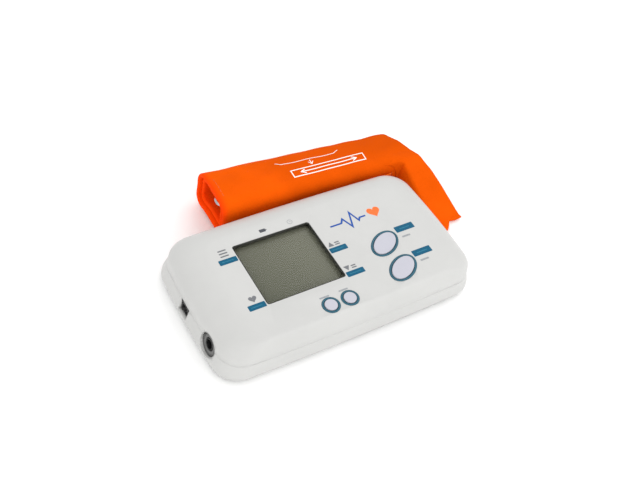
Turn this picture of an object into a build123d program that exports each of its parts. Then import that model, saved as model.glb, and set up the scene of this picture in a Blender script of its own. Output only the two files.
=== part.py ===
from build123d import *

import math
import os

# Upper arm blood pressure monitor with its rolled cuff. Millimetres, +Z up.
# All places are measured from the centre of the monitor's footprint on the table,
# with +X along the long side, -X the end with the two sockets, and +Y the back,
# where the cuff lies. The finished set is moved so that its own footprint is centred.

# Housing: outline, heights and skin
body_length = 168.0
body_depth = 92.3
foot_height = 0.8
side_bow = 1.3
end_bow = 1.75
corner_radius = 15.0
top_corner_radius = 9.0
wall = 2.2
floor_wall = 2.2
belly_height = 4.0
belly_inset = 2.0
cover_height = 14.3
shoulder_rise = 11.3
end_draft = 2.6
back_draft = 2.0
front_draft = 1.0
end_shoulder = 20.0
back_shoulder = 15.5
front_shoulder = 4.2
shoulder_rings = 7
lip_height = 1.6
lip_thickness = 1.0
seam_gap = 0.1

# Fits between pieces
slide_gap = 0.25
seat_gap = 0.05

# Display
window_shift = -0.1393
window_offset = -0.5
window_length = 48.0
window_width = 42.2
window_radius = 1.0
gasket_thickness = 0.5
gasket_sink = 0.15
lens_margin = 2.5
lens_thickness = 1.4
lcd_length = 54.0
lcd_width = 46.0
lcd_thickness = 2.2
frame_wall = 1.6
zebra_width = 2.4

# Main board and what it carries
board_end_gaps = (30.0, 25.0)
board_front_gap = 5.15
board_back_gap = 9.65
board_thickness = 1.6
board_lift = 0.6
lcd_lift = 0.9
post_radius = 2.6
post_inset = (4.0, 3.0)
post_right_inset = 9.0
board_screw_radius = 1.0
board_screw_length = 6.0
board_screw_head = 1.8
board_screw_head_height = 1.2
switch_size = 6.0
switch_height = 1.9
plunger_radius = 1.7
plunger_height = 0.5

# Push buttons: place, half axes inside the ring, tilt of the long axis
button_gap = 0.3
button_proud = 0.7
button_edge = 0.35
button_travel = 0.8
button_skirt = 1.2
button_skirt_height = 1.0
ring_depth = 0.8
ring_proud = 0.12
large_ring_width = 1.35
small_ring_width = 1.3
large_half_length = 9.55
large_half_width = 5.75
large_tilt = 30.5
small_radius = 3.9
large_button_shift = 0.2024
large_button_front_gap = 16.45
large_button_pitch = 19.2
small_button_shift = -0.1012
small_button_front_gap = 10.45
small_button_pitch = 12.0

# Sockets in the left end
dc_y = 4.7
dc_z = 9.9
dc_width = 8.8
dc_height = 7.6
dc_depth = 13.0
dc_bore_radius = 2.9
dc_bore_depth = 9.0
dc_pin_radius = 1.0
air_front_gap = 23.75
air_z = 12.4
air_ring_radius = 6.8
air_core_radius = 3.6
air_bore_radius = 2.6
air_bore_depth = 9.0
air_body_length = 14.0
nipple_radius = 1.6
nipple_length = 5.0
passage_radius = 0.8

# Battery bay, four AA cells side by side, their axes along X
cell_radius = 7.25
cell_length = 49.2
cell_nub_radius = 2.6
cell_nub_length = 1.2
cell_count = 4
cell_gap = 0.3
spring_room = 4.8
bay_wall = 1.4
bay_pump_gap = 2.3
bay_side_gap = 0.3
contact_thickness = 0.4
spring_radius = 3.2
spring_wire = 0.45
spring_turns = 3
door_thickness = 1.8
door_lap = 1.6
door_tongue = 1.2
door_tongue_height = 0.7
door_tongue_lift = 0.6
door_end_lap = 2.1
cell_lift = 0.5
grip_rib_count = 4
grip_rib_pitch = 2.4

# Housing screws and feet
screw_inset = (11.4, 11.75)
boss_radius = 3.6
screw_well_radius = 2.5
screw_land = 7.0
screw_radius = 1.3
screw_head_radius = 2.3
screw_head_height = 1.8
screw_length = 13.0
foot_inset = (20.0, 15.15)
foot_right_inset = 17.8
foot_radius = 4.4
foot_sink = 0.8

# Air pump, release valve, manifold and their tubes
pump_end_gap = 15.0
pump_head_room = 10.7
pump_lift = 0.6
motor_front_gap = 47.15
motor_length = 25.0
pump_head_length = 24.0
pump_head_width = 16.5
sleeve_thickness = 0.9
sleeve_length = 14.0
pump_outlet_shift = 3.5
tube_radius = 2.4
tube_bend = 9.0
tube_lane_gap = 8.55
manifold_end_gap = 34.0
manifold_length = 8.0
manifold_width = 22.0
manifold_height = 8.0
valve_shift = (15.0, 19.4)
valve_length = 20.0
valve_width = 11.0
valve_height = 10.0
sensor_shift = 26.4
sensor_size = 7.0
sensor_height = 2.2
sensor_nipple_length = 2.5
buzzer_inset = (14.0, 8.5)
buzzer_radius = 5.5
buzzer_height = 3.2

# Cuff, rolled up behind the monitor
cuff_overhang = 10.6
cuff_length = 132.6
cuff_right_reach = 18.6
cuff_end_slant = 23.6
cuff_taper_length = 141.0
cuff_gap = 1.25
cuff_depth = 37.6
cuff_depth_right = 28.6
cuff_height = 30.2
cuff_height_right = 20.8
cuff_crown = 1.0
cuff_low_radius = 7.0
cuff_front_radius = 6.0
cuff_back_radius = 11.0
cuff_back_radius_right = 8.0
cover_thickness = 2.0
bladder_thickness = 3.4
lining_thickness = 2.0
loop_strip_thickness = 0.8
loop_strip_height = 7.5
ring_wire_radius = 1.3
d_ring_span = 8.0
d_ring_inset = 4.0
d_ring_length = 42.0
port_reach = 14.6
port_flange_radius = 3.4
port_flange_thickness = 1.6
port_radius = 2.5
port_length = 12.0
port_bore_radius = 1.5
core_reach = 18.1
core_lift = 17.2
core_half_length = 8.6
core_half_height = 4.4
core_reach_right = 13.6
core_lift_right = 10.6
core_half_length_right = 4.0
core_half_height_right = 1.6
least_radius = 0.8
strip_margin = 14.0
loop_strip_z = 11.0
ring_corner_radius = 3.6
tail_gap = 1.6
tail_root_place = (10.6, 23.3)
tail_crest_place = (-0.4, 22.6)
tail_foot_reach = 39.4
tail_flat = 9.0
tail_tip_place = (24.4, -41.9)
tail_edge = [(19.9, -9.4), (20.9, -26.4)]
tail_zigzag = [(16.4, -40.9), (10.9, -47.4), (2.4, -45.4), (0.0, -43.4)]
fold_edge = [(0.0, -27.4), (17.4, -27.4), (17.9, -9.4), (15.9, -0.5), (0.0, -0.5)]
tail_thickness = 3.2
tail_bends = [16.0, 10.0]
tail_fold_radius = 2.0
hook_thickness = 1.2
hook_length = 26.0
hook_width = 10.5
hook_margin = 1.5

# Small clearances and shares that belong to single pieces
nipple_spread = 5.0
tube_straight = 1.2
collar_thickness = 1.6
collar_length = 6.0
air_ring_sink = 1.0
air_ring_length = 6.0
core_sink = 0.2
zebra_step = 0.6
chip_height = 1.2
chip_places = [
    (28.0, 8.0, 10.0, 10.0),
    (11.0, 12.0, 6.0, 5.0),
    (31.0, -20.0, 8.0, 5.0),
    (7.0, 0.0, 5.0, 4.0),
    (29.0, 27.0, 12.0, 5.0),
]
cell_rib = 1.0
cell_rib_height = 2.0
contact_width = 12.0
grip_length = 14.0
grip_rib_height = 0.35
cradle_thickness = 1.8
sleeve_end_gap = 1.5
lip_break = 1.0
lens_chamfer = 0.6
chip_chamfer = 0.3
plunger_clearance = 0.3
cross_slot = (2.6, 0.5)
motor_edge_radius = 1.2
manifold_edge_radius = 1.5
tray_setback = (3, 6)

# Places worked out from the sizes above
half_length = body_length / 2
half_depth = body_depth / 2
floor_top = foot_height + floor_wall
floor_root = floor_top - floor_wall / 4
door_top = foot_height + door_thickness
cell_axis_z = door_top + cell_lift + cell_radius
bay_ceiling = cell_axis_z + cell_radius + bay_side_gap
bay_top = bay_ceiling + bay_wall

# Heights from the cells upwards: board, display cell, lens and cover
board_bottom = bay_top + board_lift
board_top = board_bottom + board_thickness
lcd_bottom = board_top + lcd_lift
lcd_top = lcd_bottom + lcd_thickness
lens_bottom = lcd_top + seat_gap
lens_top = lens_bottom + lens_thickness
ceiling = lens_top + seat_gap
body_height = ceiling + wall
seam_height = body_height - cover_height
shoulder_height = body_height - shoulder_rise

# Places in the plan, from the housing's outline
window_centre = (body_length * window_shift, window_offset)
board_left = board_end_gaps[0] - half_length
board_right = half_length - board_end_gaps[1]
board_front = board_front_gap - half_depth
board_back = half_depth - board_back_gap
post_places = [
    (board_left + post_inset[0], board_back - post_inset[1]),
    (board_right - post_right_inset, board_back - post_inset[1]),
    (board_left + post_inset[0], board_front + post_inset[1]),
    (board_right - post_inset[0], board_front + post_inset[1]),
]
start_place = (body_length * large_button_shift, large_button_front_gap + large_button_pitch - half_depth)
memory_place = (body_length * large_button_shift, large_button_front_gap - half_depth)
hour_place = (body_length * small_button_shift, small_button_front_gap - half_depth)
minute_place = (hour_place[0] + small_button_pitch, hour_place[1])
screw_x = half_length - screw_inset[0]
screw_y = half_depth - screw_inset[1]
screw_places = [(-screw_x, -screw_y), (screw_x, -screw_y), (-screw_x, screw_y), (screw_x, screw_y)]
screw_seat = seam_height - screw_land
foot_left = foot_inset[0] - half_length
foot_right = half_length - foot_right_inset
foot_y = half_depth - foot_inset[1]
foot_places = [(foot_left, -foot_y), (foot_right, -foot_y), (foot_left, foot_y), (foot_right, foot_y)]
air_y = air_front_gap - half_depth
pump_radius = (body_height - pump_head_room) / 2
sleeve_radius = pump_radius + sleeve_thickness
pump_x = half_length - pump_end_gap
pump_z = floor_top + pump_lift + sleeve_radius
pump_outlet_x = pump_x - pump_outlet_shift
motor_front = motor_front_gap - half_depth
tube_lane_y = tube_lane_gap - half_depth
manifold_x = manifold_end_gap - half_length
valve_x = manifold_x + valve_shift[0]
valve_y = air_y + valve_shift[1]
sensor_place = (manifold_x, air_y + sensor_shift)
buzzer_place = (board_left + buzzer_inset[0], board_back - buzzer_inset[1])
skirt_bottom = ceiling - seat_gap - button_skirt_height
stem_bottom = board_top + switch_height + plunger_height + button_travel + seat_gap
large_ring_length = large_half_length + large_ring_width
large_ring_breadth = large_half_width + large_ring_width

cell_pitch = 2 * cell_radius + cell_gap
bay_length = cell_length + cell_nub_length + 2 * contact_thickness + spring_room
bay_right = pump_x - sleeve_radius - bay_pump_gap
bay_left = bay_right - bay_length
bay_middle = bay_left + bay_length / 2
bay_half_width = cell_count * cell_pitch / 2 + bay_side_gap
door_inner_end = bay_half_width + door_end_lap
door_roof = door_top + slide_gap
tongue_bottom = foot_height + door_tongue_lift
door_left = bay_left - door_lap
door_right = bay_right + door_lap
grip_y = grip_length - half_depth

cradle_top = pump_z - pump_radius / 4
cradle_places = (
    motor_front + motor_length - sleeve_end_gap - sleeve_length / 5,
    motor_front + motor_length - sleeve_end_gap - sleeve_length * 4 / 5,
)
pump_head_front = motor_front - pump_head_length

# The air socket stands square to the sloping end wall
air_slope = math.atan2(end_draft, shoulder_height - belly_height)
air_inward = Vector(math.cos(air_slope), 0, -math.sin(air_slope))


def end_inset(height):
    """How far the end wall has drawn in from the belly line at a height below the shoulder."""
    return end_draft * (height - belly_height) / (shoulder_height - belly_height)


air_face = Plane(
    origin=(-half_length + end_inset(air_z) + end_bow * (air_y / half_depth) ** 2, air_y, air_z),
    x_dir=(0, 1, 0),
    z_dir=-air_inward,
)
air_outward = Axis(air_face.origin, air_face.z_dir)
socket_end = air_face.origin + air_inward * (air_ring_sink + core_sink + air_body_length)
socket_turn = socket_end + air_inward * (nipple_length + tube_straight)
dc_face_x = -half_length + end_inset(dc_z + dc_height / 2)

# The manifold lies level with the end of the air socket's tube
manifold_z = socket_turn.Z
manifold_left = manifold_x - manifold_length / 2
manifold_right = manifold_x + manifold_length / 2
manifold_back = air_y + manifold_width / 2
manifold_nipples = [
    Plane(origin=(manifold_left, air_y, manifold_z), z_dir=(-1, 0, 0)),
    Plane(origin=(manifold_right, air_y - nipple_spread, manifold_z), z_dir=(1, 0, 0)),
    Plane(origin=(manifold_right, air_y + nipple_spread, manifold_z), z_dir=(1, 0, 0)),
    Plane(origin=(manifold_x, manifold_back, manifold_z), z_dir=(0, 1, 0)),
]
sensor_bottom = board_bottom - sensor_height
socket_route = [
    socket_end,
    socket_turn,
    (manifold_left, air_y, manifold_z),
]
pump_route = [
    (pump_outlet_x, pump_head_front, pump_z),
    (pump_outlet_x, tube_lane_y, pump_z),
    (pump_outlet_x - 2.5 * tube_bend, tube_lane_y, manifold_z),
    (manifold_right + 2.2 * tube_bend, tube_lane_y, manifold_z),
    (manifold_right + 1.1 * tube_bend, air_y - nipple_spread, manifold_z),
    (manifold_right, air_y - nipple_spread, manifold_z),
]
valve_route = [
    (manifold_right, air_y + nipple_spread, manifold_z),
    (valve_x, air_y + nipple_spread, manifold_z),
    (valve_x, valve_y, manifold_z),
]
sensor_route = [
    (manifold_x, manifold_back, manifold_z),
    (sensor_place[0], sensor_place[1], manifold_z),
    (sensor_place[0], sensor_place[1], sensor_bottom),
]

# Cuff: where the layers, the ring, the port and the tail lie
cuff_right = half_length + cuff_overhang
cuff_left = cuff_right - cuff_length
cuff_front = half_depth + cuff_gap
cuff_right_at_y = cuff_front + cuff_right_reach
core_centre = (cuff_front + core_reach, core_lift)
core_centre_right = (cuff_front + core_reach_right, core_lift_right)
port_y = cuff_front + port_reach
tail_left = half_length + tail_gap
tail_root = (cuff_front + tail_root_place[0], tail_root_place[1])
tail_crest = (cuff_front + tail_crest_place[0], tail_crest_place[1])
tail_foot_y = cuff_front - tail_foot_reach
tail_tip = (tail_left + tail_tip_place[0], cuff_front + tail_tip_place[1])
cuff_back = cuff_front + cuff_depth
cuff_top = cuff_height + cuff_crown
inner_skin = cover_thickness + bladder_thickness + lining_thickness
ring_left = cuff_left + d_ring_inset
ring_right = ring_left + d_ring_length


def along_roll(left, right, x):
    """A size of the tapering roll at one place along it."""
    return left + (right - left) * (x - cuff_left) / cuff_taper_length


def core_at(x):
    """Centre and half axes of the hollow core at one place along the roll."""
    return (
        along_roll(core_centre[0], core_centre_right[0], x),
        along_roll(core_centre[1], core_centre_right[1], x),
        along_roll(core_half_length, core_half_length_right, x),
        along_roll(core_half_height, core_half_height_right, x),
    )


def ring_end(x):
    """Where the steel ring's bars lie on the floor of the core at one of its ends."""
    core_y, core_z, half_length, half_height = core_at(x)
    reach = (d_ring_span / 2 + ring_wire_radius) / half_length
    ring_z = core_z - half_height * math.sqrt(1 - reach**2) + ring_wire_radius + seat_gap
    return core_y, ring_z


ring_corners = [
    (ring_left, ring_end(ring_left)[0] - d_ring_span / 2, ring_end(ring_left)[1]),
    (ring_right, ring_end(ring_right)[0] - d_ring_span / 2, ring_end(ring_right)[1]),
    (ring_right, ring_end(ring_right)[0] + d_ring_span / 2, ring_end(ring_right)[1]),
    (ring_left, ring_end(ring_left)[0] + d_ring_span / 2, ring_end(ring_left)[1]),
]
port_z = cover_thickness + bladder_thickness / 2
port_x = cuff_right + (cuff_right_at_y - port_y) * math.tan(math.radians(cuff_end_slant))
end_normal = (math.cos(math.radians(cuff_end_slant)), math.sin(math.radians(cuff_end_slant)), 0)
port_plane = Plane(origin=(port_x, port_y, port_z), z_dir=end_normal)
end_plane = Plane(origin=(cuff_right, cuff_right_at_y, 0), z_dir=end_normal)

set_centre = (
    (tail_tip[0] - half_length) / 2,
    (cuff_back - half_depth) / 2,
)

tail_line = [
    tail_root,
    tail_crest,
    (tail_foot_y, tail_thickness),
    (tail_foot_y - tail_flat, tail_thickness),
]
tail_slope = math.atan2(tail_crest[1] - tail_thickness, tail_crest[0] - tail_foot_y)
tail_slope_middle = ((tail_crest[0] + tail_foot_y) / 2, (tail_crest[1] + tail_thickness) / 2)


def cuff_end_x(y):
    """Where the slanted right end of the roll lies at one distance from the front."""
    return cuff_right + (cuff_right_at_y - y) * math.tan(math.radians(cuff_end_slant))


tail_outline = [
    (tail_left, tail_root[0]),
    (cuff_end_x(tail_root[0]), tail_root[0]),
    (cuff_end_x(cuff_front), cuff_front),
    *[(tail_left + x, cuff_front + y) for x, y in tail_edge],
    tail_tip,
    *[(tail_left + x, cuff_front + y) for x, y in tail_zigzag],
]
tail_fold_outline = [(tail_left + x, cuff_front + y) for x, y in fold_edge]


# Sections and forms that several pieces share
def housing_section(height, end, front, back, radius):
    """Rounded rectangle with slightly bowed sides, moved in from the belly line."""
    side_x = half_length - end
    front_y = front - half_depth
    back_y = half_depth - back
    middle_y = (front_y + back_y) / 2
    corner_x = side_x - end_bow
    with BuildSketch(Plane.XY.offset(height)) as section:
        with BuildLine():
            ThreePointArc((-corner_x, front_y + side_bow), (0, front_y), (corner_x, front_y + side_bow))
            ThreePointArc((corner_x, front_y + side_bow), (side_x, middle_y), (corner_x, back_y - side_bow))
            ThreePointArc((corner_x, back_y - side_bow), (0, back_y), (-corner_x, back_y - side_bow))
            ThreePointArc((-corner_x, back_y - side_bow), (-side_x, middle_y), (-corner_x, front_y + side_bow))
        make_face()
        fillet(section.vertices(), radius)
    return section.sketch


def housing_form(skin, low, high):
    """Pillow form of the housing between two heights, moved in by one skin."""
    belly = low + (belly_height - foot_height) * (1 if skin == 0 else 0.5)
    sections = []
    for share in (1.0, 0.3, 0.0):
        inset = belly_inset * share + skin
        height = belly - (belly - low) * math.sqrt(share)
        sections.append(housing_section(height, inset, inset, inset, corner_radius - inset))
    middle = (belly + shoulder_height) / 2
    sections.append(
        housing_section(
            middle,
            skin + end_draft / 2,
            skin + front_draft / 2,
            skin + back_draft / 2,
            corner_radius - skin,
        )
    )
    for ring in range(shoulder_rings + 1):
        turn = math.pi / 2 * ring / shoulder_rings
        share = 1 - math.cos(turn)
        sections.append(
            housing_section(
                shoulder_height + (high - shoulder_height) * math.sin(turn),
                skin + end_draft + end_shoulder * share,
                skin + front_draft + front_shoulder * share,
                skin + back_draft + back_shoulder * share,
                corner_radius + (top_corner_radius - corner_radius) * share - skin,
            )
        )
    with BuildPart() as form:
        loft(sections)
    return form.part


def seam_section(height, skin):
    """Section near the seam, where the walls lean in by their draft."""
    share = (seam_height - belly_height) / (shoulder_height - belly_height)
    return housing_section(
        height,
        skin + end_draft * share,
        skin + front_draft * share,
        skin + back_draft * share,
        corner_radius - skin,
    )


outer_form = housing_form(0, foot_height, body_height)
middle_form = housing_form(wall / 2, foot_height + floor_wall / 2, body_height - wall / 2)
cavity_form = housing_form(wall, floor_top, ceiling)
button_places = [start_place, memory_place, hour_place, minute_place]
pump_bends = [tube_bend * 0.85, tube_bend, tube_bend, tube_bend]
socket_bends = tube_bend
valve_bends = tube_bend * 0.94
sensor_bends = tube_bend * 0.6


# Lower housing: tray with a battery bay, a door recess, screw bosses and cradles
with BuildPart() as lower_inside:
    with BuildSketch(air_face):
        Circle(air_ring_radius + collar_thickness)
    extrude(amount=-collar_length)
    split(bisect_by=Plane.XY.offset(seam_height), keep=Keep.BOTTOM)
    with BuildSketch(Plane.XY.offset(floor_root)):
        with Locations(*screw_places):
            Circle(boss_radius)
    extrude(amount=seam_height - floor_root)
    with BuildSketch(Plane.XY.offset(floor_root)):
        with Locations((bay_middle, (door_inner_end - half_depth) / 2)):
            Rectangle(
                door_right - door_left + 2 * (door_tongue + slide_gap + bay_wall),
                door_inner_end + half_depth + 2 * (slide_gap + bay_wall),
            )
    extrude(amount=door_roof + bay_wall - floor_root)
    with BuildSketch(Plane.XY.offset(floor_root)):
        with Locations((bay_middle, 0)):
            Rectangle(bay_length + 2 * bay_wall, 2 * (bay_half_width + bay_wall))
    extrude(amount=bay_top - floor_root)
    with BuildSketch(Plane.XY.offset(floor_root)):
        with Locations((dc_face_x + dc_depth / 2 + 1, dc_y)):
            Rectangle(dc_depth - 4, dc_width - 3)
    extrude(amount=dc_z - dc_height / 2 - floor_root)
    with BuildSketch(Plane.XY.offset(floor_root)):
        with Locations((manifold_x, air_y)):
            Rectangle(manifold_length - tray_setback[0], manifold_width - tray_setback[1])
    extrude(amount=manifold_z - manifold_height / 2 - floor_root)
    with BuildSketch(Plane.XY.offset(floor_root)):
        with Locations((valve_x, valve_y + valve_length / 2)):
            Rectangle(valve_width - tray_setback[0], valve_length - tray_setback[1])
    extrude(amount=manifold_z - valve_height / 2 - floor_root)
    for cradle_y in cradle_places:
        with BuildSketch(Plane.XZ.offset(-cradle_y)):
            with Locations((pump_x, (floor_root + cradle_top) / 2)):
                Rectangle(2 * sleeve_radius - 1, cradle_top - floor_root)
        extrude(amount=cradle_thickness / 2, both=True)
    add(middle_form, mode=Mode.INTERSECT)

with BuildPart() as lower_housing:
    add(outer_form)
    add(cavity_form, mode=Mode.SUBTRACT)
    split(bisect_by=Plane.XY.offset(seam_height), keep=Keep.BOTTOM)
    extrude(seam_section(seam_height - lip_height, wall - lip_thickness), amount=2 * lip_height)
    extrude(seam_section(seam_height - lip_height, wall), amount=2 * lip_height, mode=Mode.SUBTRACT)
    with BuildSketch(Plane.XY.offset(seam_height)):
        with Locations((-half_length, air_y)):
            Rectangle(4 * end_shoulder, 2 * (air_ring_radius + collar_thickness + lip_break))
    extrude(amount=lip_height, mode=Mode.SUBTRACT)
    add(lower_inside.part)
    # Battery bay, open below, with ribs that keep the cells apart
    with BuildSketch(Plane.XY):
        with Locations((bay_middle, 0)):
            Rectangle(bay_length, 2 * bay_half_width)
    extrude(amount=bay_ceiling, mode=Mode.SUBTRACT)
    with BuildSketch(Plane.XY.offset(bay_ceiling)):
        with Locations((bay_middle, 0)):
            with GridLocations(1, cell_pitch, 1, cell_count - 1):
                Rectangle(bay_length - 4 * contact_thickness, cell_rib)
    extrude(amount=-cell_rib_height)
    # Recess and side grooves for the battery door, open at the front
    with BuildSketch(Plane.XY):
        with Locations((bay_middle, door_inner_end + slide_gap - body_depth)):
            Rectangle(door_right - door_left + 2 * slide_gap, 2 * body_depth)
    extrude(amount=door_roof, mode=Mode.SUBTRACT)
    with BuildSketch(Plane.XY.offset(tongue_bottom - slide_gap / 2)):
        with Locations((bay_middle, door_inner_end + slide_gap - body_depth)):
            Rectangle(door_right - door_left + 2 * (door_tongue + slide_gap), 2 * body_depth)
    extrude(amount=door_tongue_height + slide_gap, mode=Mode.SUBTRACT)
    # Wells for the housing screws and seats for the feet
    with BuildSketch(Plane.XY):
        with Locations(*screw_places):
            Circle(screw_well_radius)
    extrude(amount=screw_seat, mode=Mode.SUBTRACT)
    with BuildSketch(Plane.XY):
        with Locations(*screw_places):
            Circle(screw_radius + seat_gap)
    extrude(amount=seam_height, mode=Mode.SUBTRACT)
    with BuildSketch(Plane.XY):
        with Locations(*foot_places):
            Circle(foot_radius + seat_gap)
    extrude(amount=foot_height + foot_sink, mode=Mode.SUBTRACT)
    # Openings for the power socket and the air socket, and the pump's cradle
    with BuildSketch(Plane.YZ.offset(-half_length)):
        with Locations((dc_y, dc_z)):
            Rectangle(dc_width, dc_height)
    extrude(amount=end_draft + wall + 2 * end_bow, mode=Mode.SUBTRACT)
    with BuildSketch(air_face):
        Circle(air_ring_radius + seat_gap)
    extrude(amount=collar_length + 1, both=True, mode=Mode.SUBTRACT)
    with BuildSketch(Plane.XZ.offset(-pump_head_front)):
        with Locations((pump_x, pump_z)):
            Circle(sleeve_radius)
    extrude(amount=-pump_head_length - motor_length - sleeve_length, mode=Mode.SUBTRACT)

# Upper housing: cover with the display window, the button holes and the board's posts
with BuildPart() as upper_inside:
    with BuildSketch(Plane.XY.offset(board_top)):
        with Locations(*post_places):
            Circle(post_radius)
    extrude(amount=body_height - board_top)
    with BuildSketch(Plane.XY.offset(seam_height)):
        with Locations(*screw_places):
            Circle(boss_radius)
    extrude(amount=body_height - seam_height)
    with BuildSketch(Plane.XY.offset(lens_bottom)):
        with Locations(window_centre):
            Rectangle(
                window_length + 2 * (lens_margin + seat_gap + frame_wall),
                window_width + 2 * (lens_margin + seat_gap + frame_wall),
            )
            Rectangle(
                window_length + 2 * (lens_margin + seat_gap),
                window_width + 2 * (lens_margin + seat_gap),
                mode=Mode.SUBTRACT,
            )
    extrude(amount=body_height - lens_bottom)
    with BuildSketch(air_face):
        Circle(air_ring_radius + collar_thickness)
    extrude(amount=-collar_length)
    split(bisect_by=Plane.XY.offset(seam_height), keep=Keep.TOP)
    add(middle_form, mode=Mode.INTERSECT)

with BuildPart() as upper_housing:
    add(outer_form)
    add(cavity_form, mode=Mode.SUBTRACT)
    split(bisect_by=Plane.XY.offset(seam_height), keep=Keep.TOP)
    extrude(
        seam_section(seam_height, wall - lip_thickness - seam_gap),
        amount=lip_height + seam_gap,
        mode=Mode.SUBTRACT,
    )
    add(upper_inside.part)
    with BuildSketch(Plane.XY.offset(lens_top)):
        with Locations(window_centre):
            RectangleRounded(
                window_length + 2 * gasket_thickness,
                window_width + 2 * gasket_thickness,
                window_radius + gasket_thickness,
            )
    extrude(amount=body_height, mode=Mode.SUBTRACT)
    # Button holes, each with a groove for its coloured ring
    with BuildSketch(Plane.XY.offset(board_top)):
        with Locations(start_place, memory_place):
            Ellipse(large_half_length, large_half_width, rotation=large_tilt)
        with Locations(hour_place, minute_place):
            Circle(small_radius)
    extrude(amount=body_height, mode=Mode.SUBTRACT)
    with BuildSketch(Plane.XY.offset(body_height - ring_depth)):
        with Locations(start_place, memory_place):
            Ellipse(large_ring_length + seat_gap, large_ring_breadth + seat_gap, rotation=large_tilt)
        with Locations(hour_place, minute_place):
            Circle(small_radius + small_ring_width + seat_gap)
    extrude(amount=body_height, mode=Mode.SUBTRACT)
    # Pilot holes for the housing screws and the board screws
    with BuildSketch(Plane.XY):
        with Locations(*screw_places):
            Circle(screw_radius)
    extrude(amount=screw_seat + screw_length, mode=Mode.SUBTRACT)
    with BuildSketch(Plane.XY):
        with Locations(*post_places):
            Circle(board_screw_radius)
    extrude(amount=board_bottom + board_screw_length, mode=Mode.SUBTRACT)
    with BuildSketch(air_face):
        Circle(air_ring_radius + seat_gap)
    extrude(amount=collar_length + 1, both=True, mode=Mode.SUBTRACT)

# Display: dark liner in the window, clear lens, glass cell, frame and its contact strips
with BuildPart() as window_liner:
    with BuildSketch(Plane.XY.offset(lens_top)):
        with Locations(window_centre):
            RectangleRounded(
                window_length + 2 * gasket_thickness,
                window_width + 2 * gasket_thickness,
                window_radius + gasket_thickness,
            )
            RectangleRounded(window_length, window_width, window_radius, mode=Mode.SUBTRACT)
    extrude(amount=body_height - gasket_sink - lens_top)

with BuildPart() as display_lens:
    with BuildSketch(Plane.XY.offset(lens_bottom)):
        with Locations(window_centre):
            Rectangle(window_length + 2 * lens_margin, window_width + 2 * lens_margin)
    extrude(amount=lens_thickness)
    chamfer(display_lens.edges().filter_by(Axis.Z), lens_chamfer)

with BuildPart() as lcd_panel:
    with BuildSketch(Plane.XY.offset(lcd_bottom)):
        with Locations(window_centre):
            Rectangle(lcd_length, lcd_width)
    extrude(amount=lcd_thickness)
    with BuildSketch(Plane.XY.offset(lcd_bottom)):
        with Locations((window_centre[0], window_centre[1] - lcd_width / 2)):
            Rectangle(lcd_length, 2 * zebra_width)
        with Locations((window_centre[0], window_centre[1] + lcd_width / 2)):
            Rectangle(lcd_length, 2 * zebra_width)
    extrude(amount=zebra_step, mode=Mode.SUBTRACT)

with BuildPart() as lcd_frame:
    with BuildSketch(Plane.XY.offset(board_top)):
        with Locations(window_centre):
            Rectangle(
                lcd_length + 2 * (seat_gap + frame_wall),
                lcd_width + 2 * (seat_gap + frame_wall),
            )
            Rectangle(
                lcd_length + 2 * seat_gap,
                lcd_width + 2 * seat_gap,
                mode=Mode.SUBTRACT,
            )
    extrude(amount=lcd_top - board_top)
    with BuildSketch(Plane.XY.offset(board_top)):
        with Locations(window_centre):
            Rectangle(lcd_length + 2 * seat_gap, lcd_width - 4 * zebra_width)
            Rectangle(
                lcd_length - 6 * frame_wall,
                lcd_width - 4 * zebra_width - 4 * frame_wall,
                mode=Mode.SUBTRACT,
            )
    extrude(amount=lcd_bottom - board_top)

with BuildPart() as zebra_strips:
    with BuildSketch(Plane.XY.offset(board_top)):
        with Locations(window_centre):
            with GridLocations(1, lcd_width - zebra_width - 2 * seat_gap, 1, 2):
                Rectangle(lcd_length - 2 * frame_wall, zebra_width - 2 * seat_gap)
    extrude(amount=lcd_bottom + zebra_step - board_top)

# Main board, its chips, switches, screws, pressure sensor and buzzer
with BuildPart() as main_board:
    with BuildSketch(Plane.XY.offset(board_bottom)):
        with Locations(((board_left + board_right) / 2, (board_front + board_back) / 2)):
            RectangleRounded(board_right - board_left, board_back - board_front, 2.0)
        with Locations(*post_places):
            Circle(board_screw_radius + seat_gap, mode=Mode.SUBTRACT)
    extrude(amount=board_thickness)

with BuildPart() as board_chips:
    for chip_x, chip_y, chip_length, chip_width in chip_places:
        with BuildSketch(Plane.XY.offset(board_top)):
            with Locations((board_right - chip_x, chip_y)):
                Rectangle(chip_length, chip_width)
        extrude(amount=chip_height)
    chamfer(board_chips.edges().filter_by(Axis.Z), chip_chamfer)

with BuildPart() as tact_switches:
    with BuildSketch(Plane.XY.offset(board_top)):
        with Locations(*button_places):
            Rectangle(switch_size, switch_size)
    extrude(amount=switch_height)
    with BuildSketch(Plane.XY.offset(board_top)):
        with Locations(*button_places):
            Circle(plunger_radius)
    extrude(amount=switch_height + plunger_height)

with BuildPart() as board_screws:
    with BuildSketch(Plane.XY.offset(board_bottom)):
        with Locations(*post_places):
            Circle(board_screw_radius)
    extrude(amount=board_screw_length)
    with BuildSketch(Plane.XY.offset(board_bottom)):
        with Locations(*post_places):
            Circle(board_screw_head)
    extrude(amount=-board_screw_head_height)

with BuildPart() as pressure_sensor:
    with BuildSketch(Plane.XY.offset(board_bottom)):
        with Locations(sensor_place):
            Rectangle(sensor_size, sensor_size)
    extrude(amount=-sensor_height)
    with BuildSketch(Plane.XY.offset(board_bottom - sensor_height)):
        with Locations(sensor_place):
            Circle(nipple_radius)
            Circle(passage_radius, mode=Mode.SUBTRACT)
    extrude(amount=-sensor_nipple_length)

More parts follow.
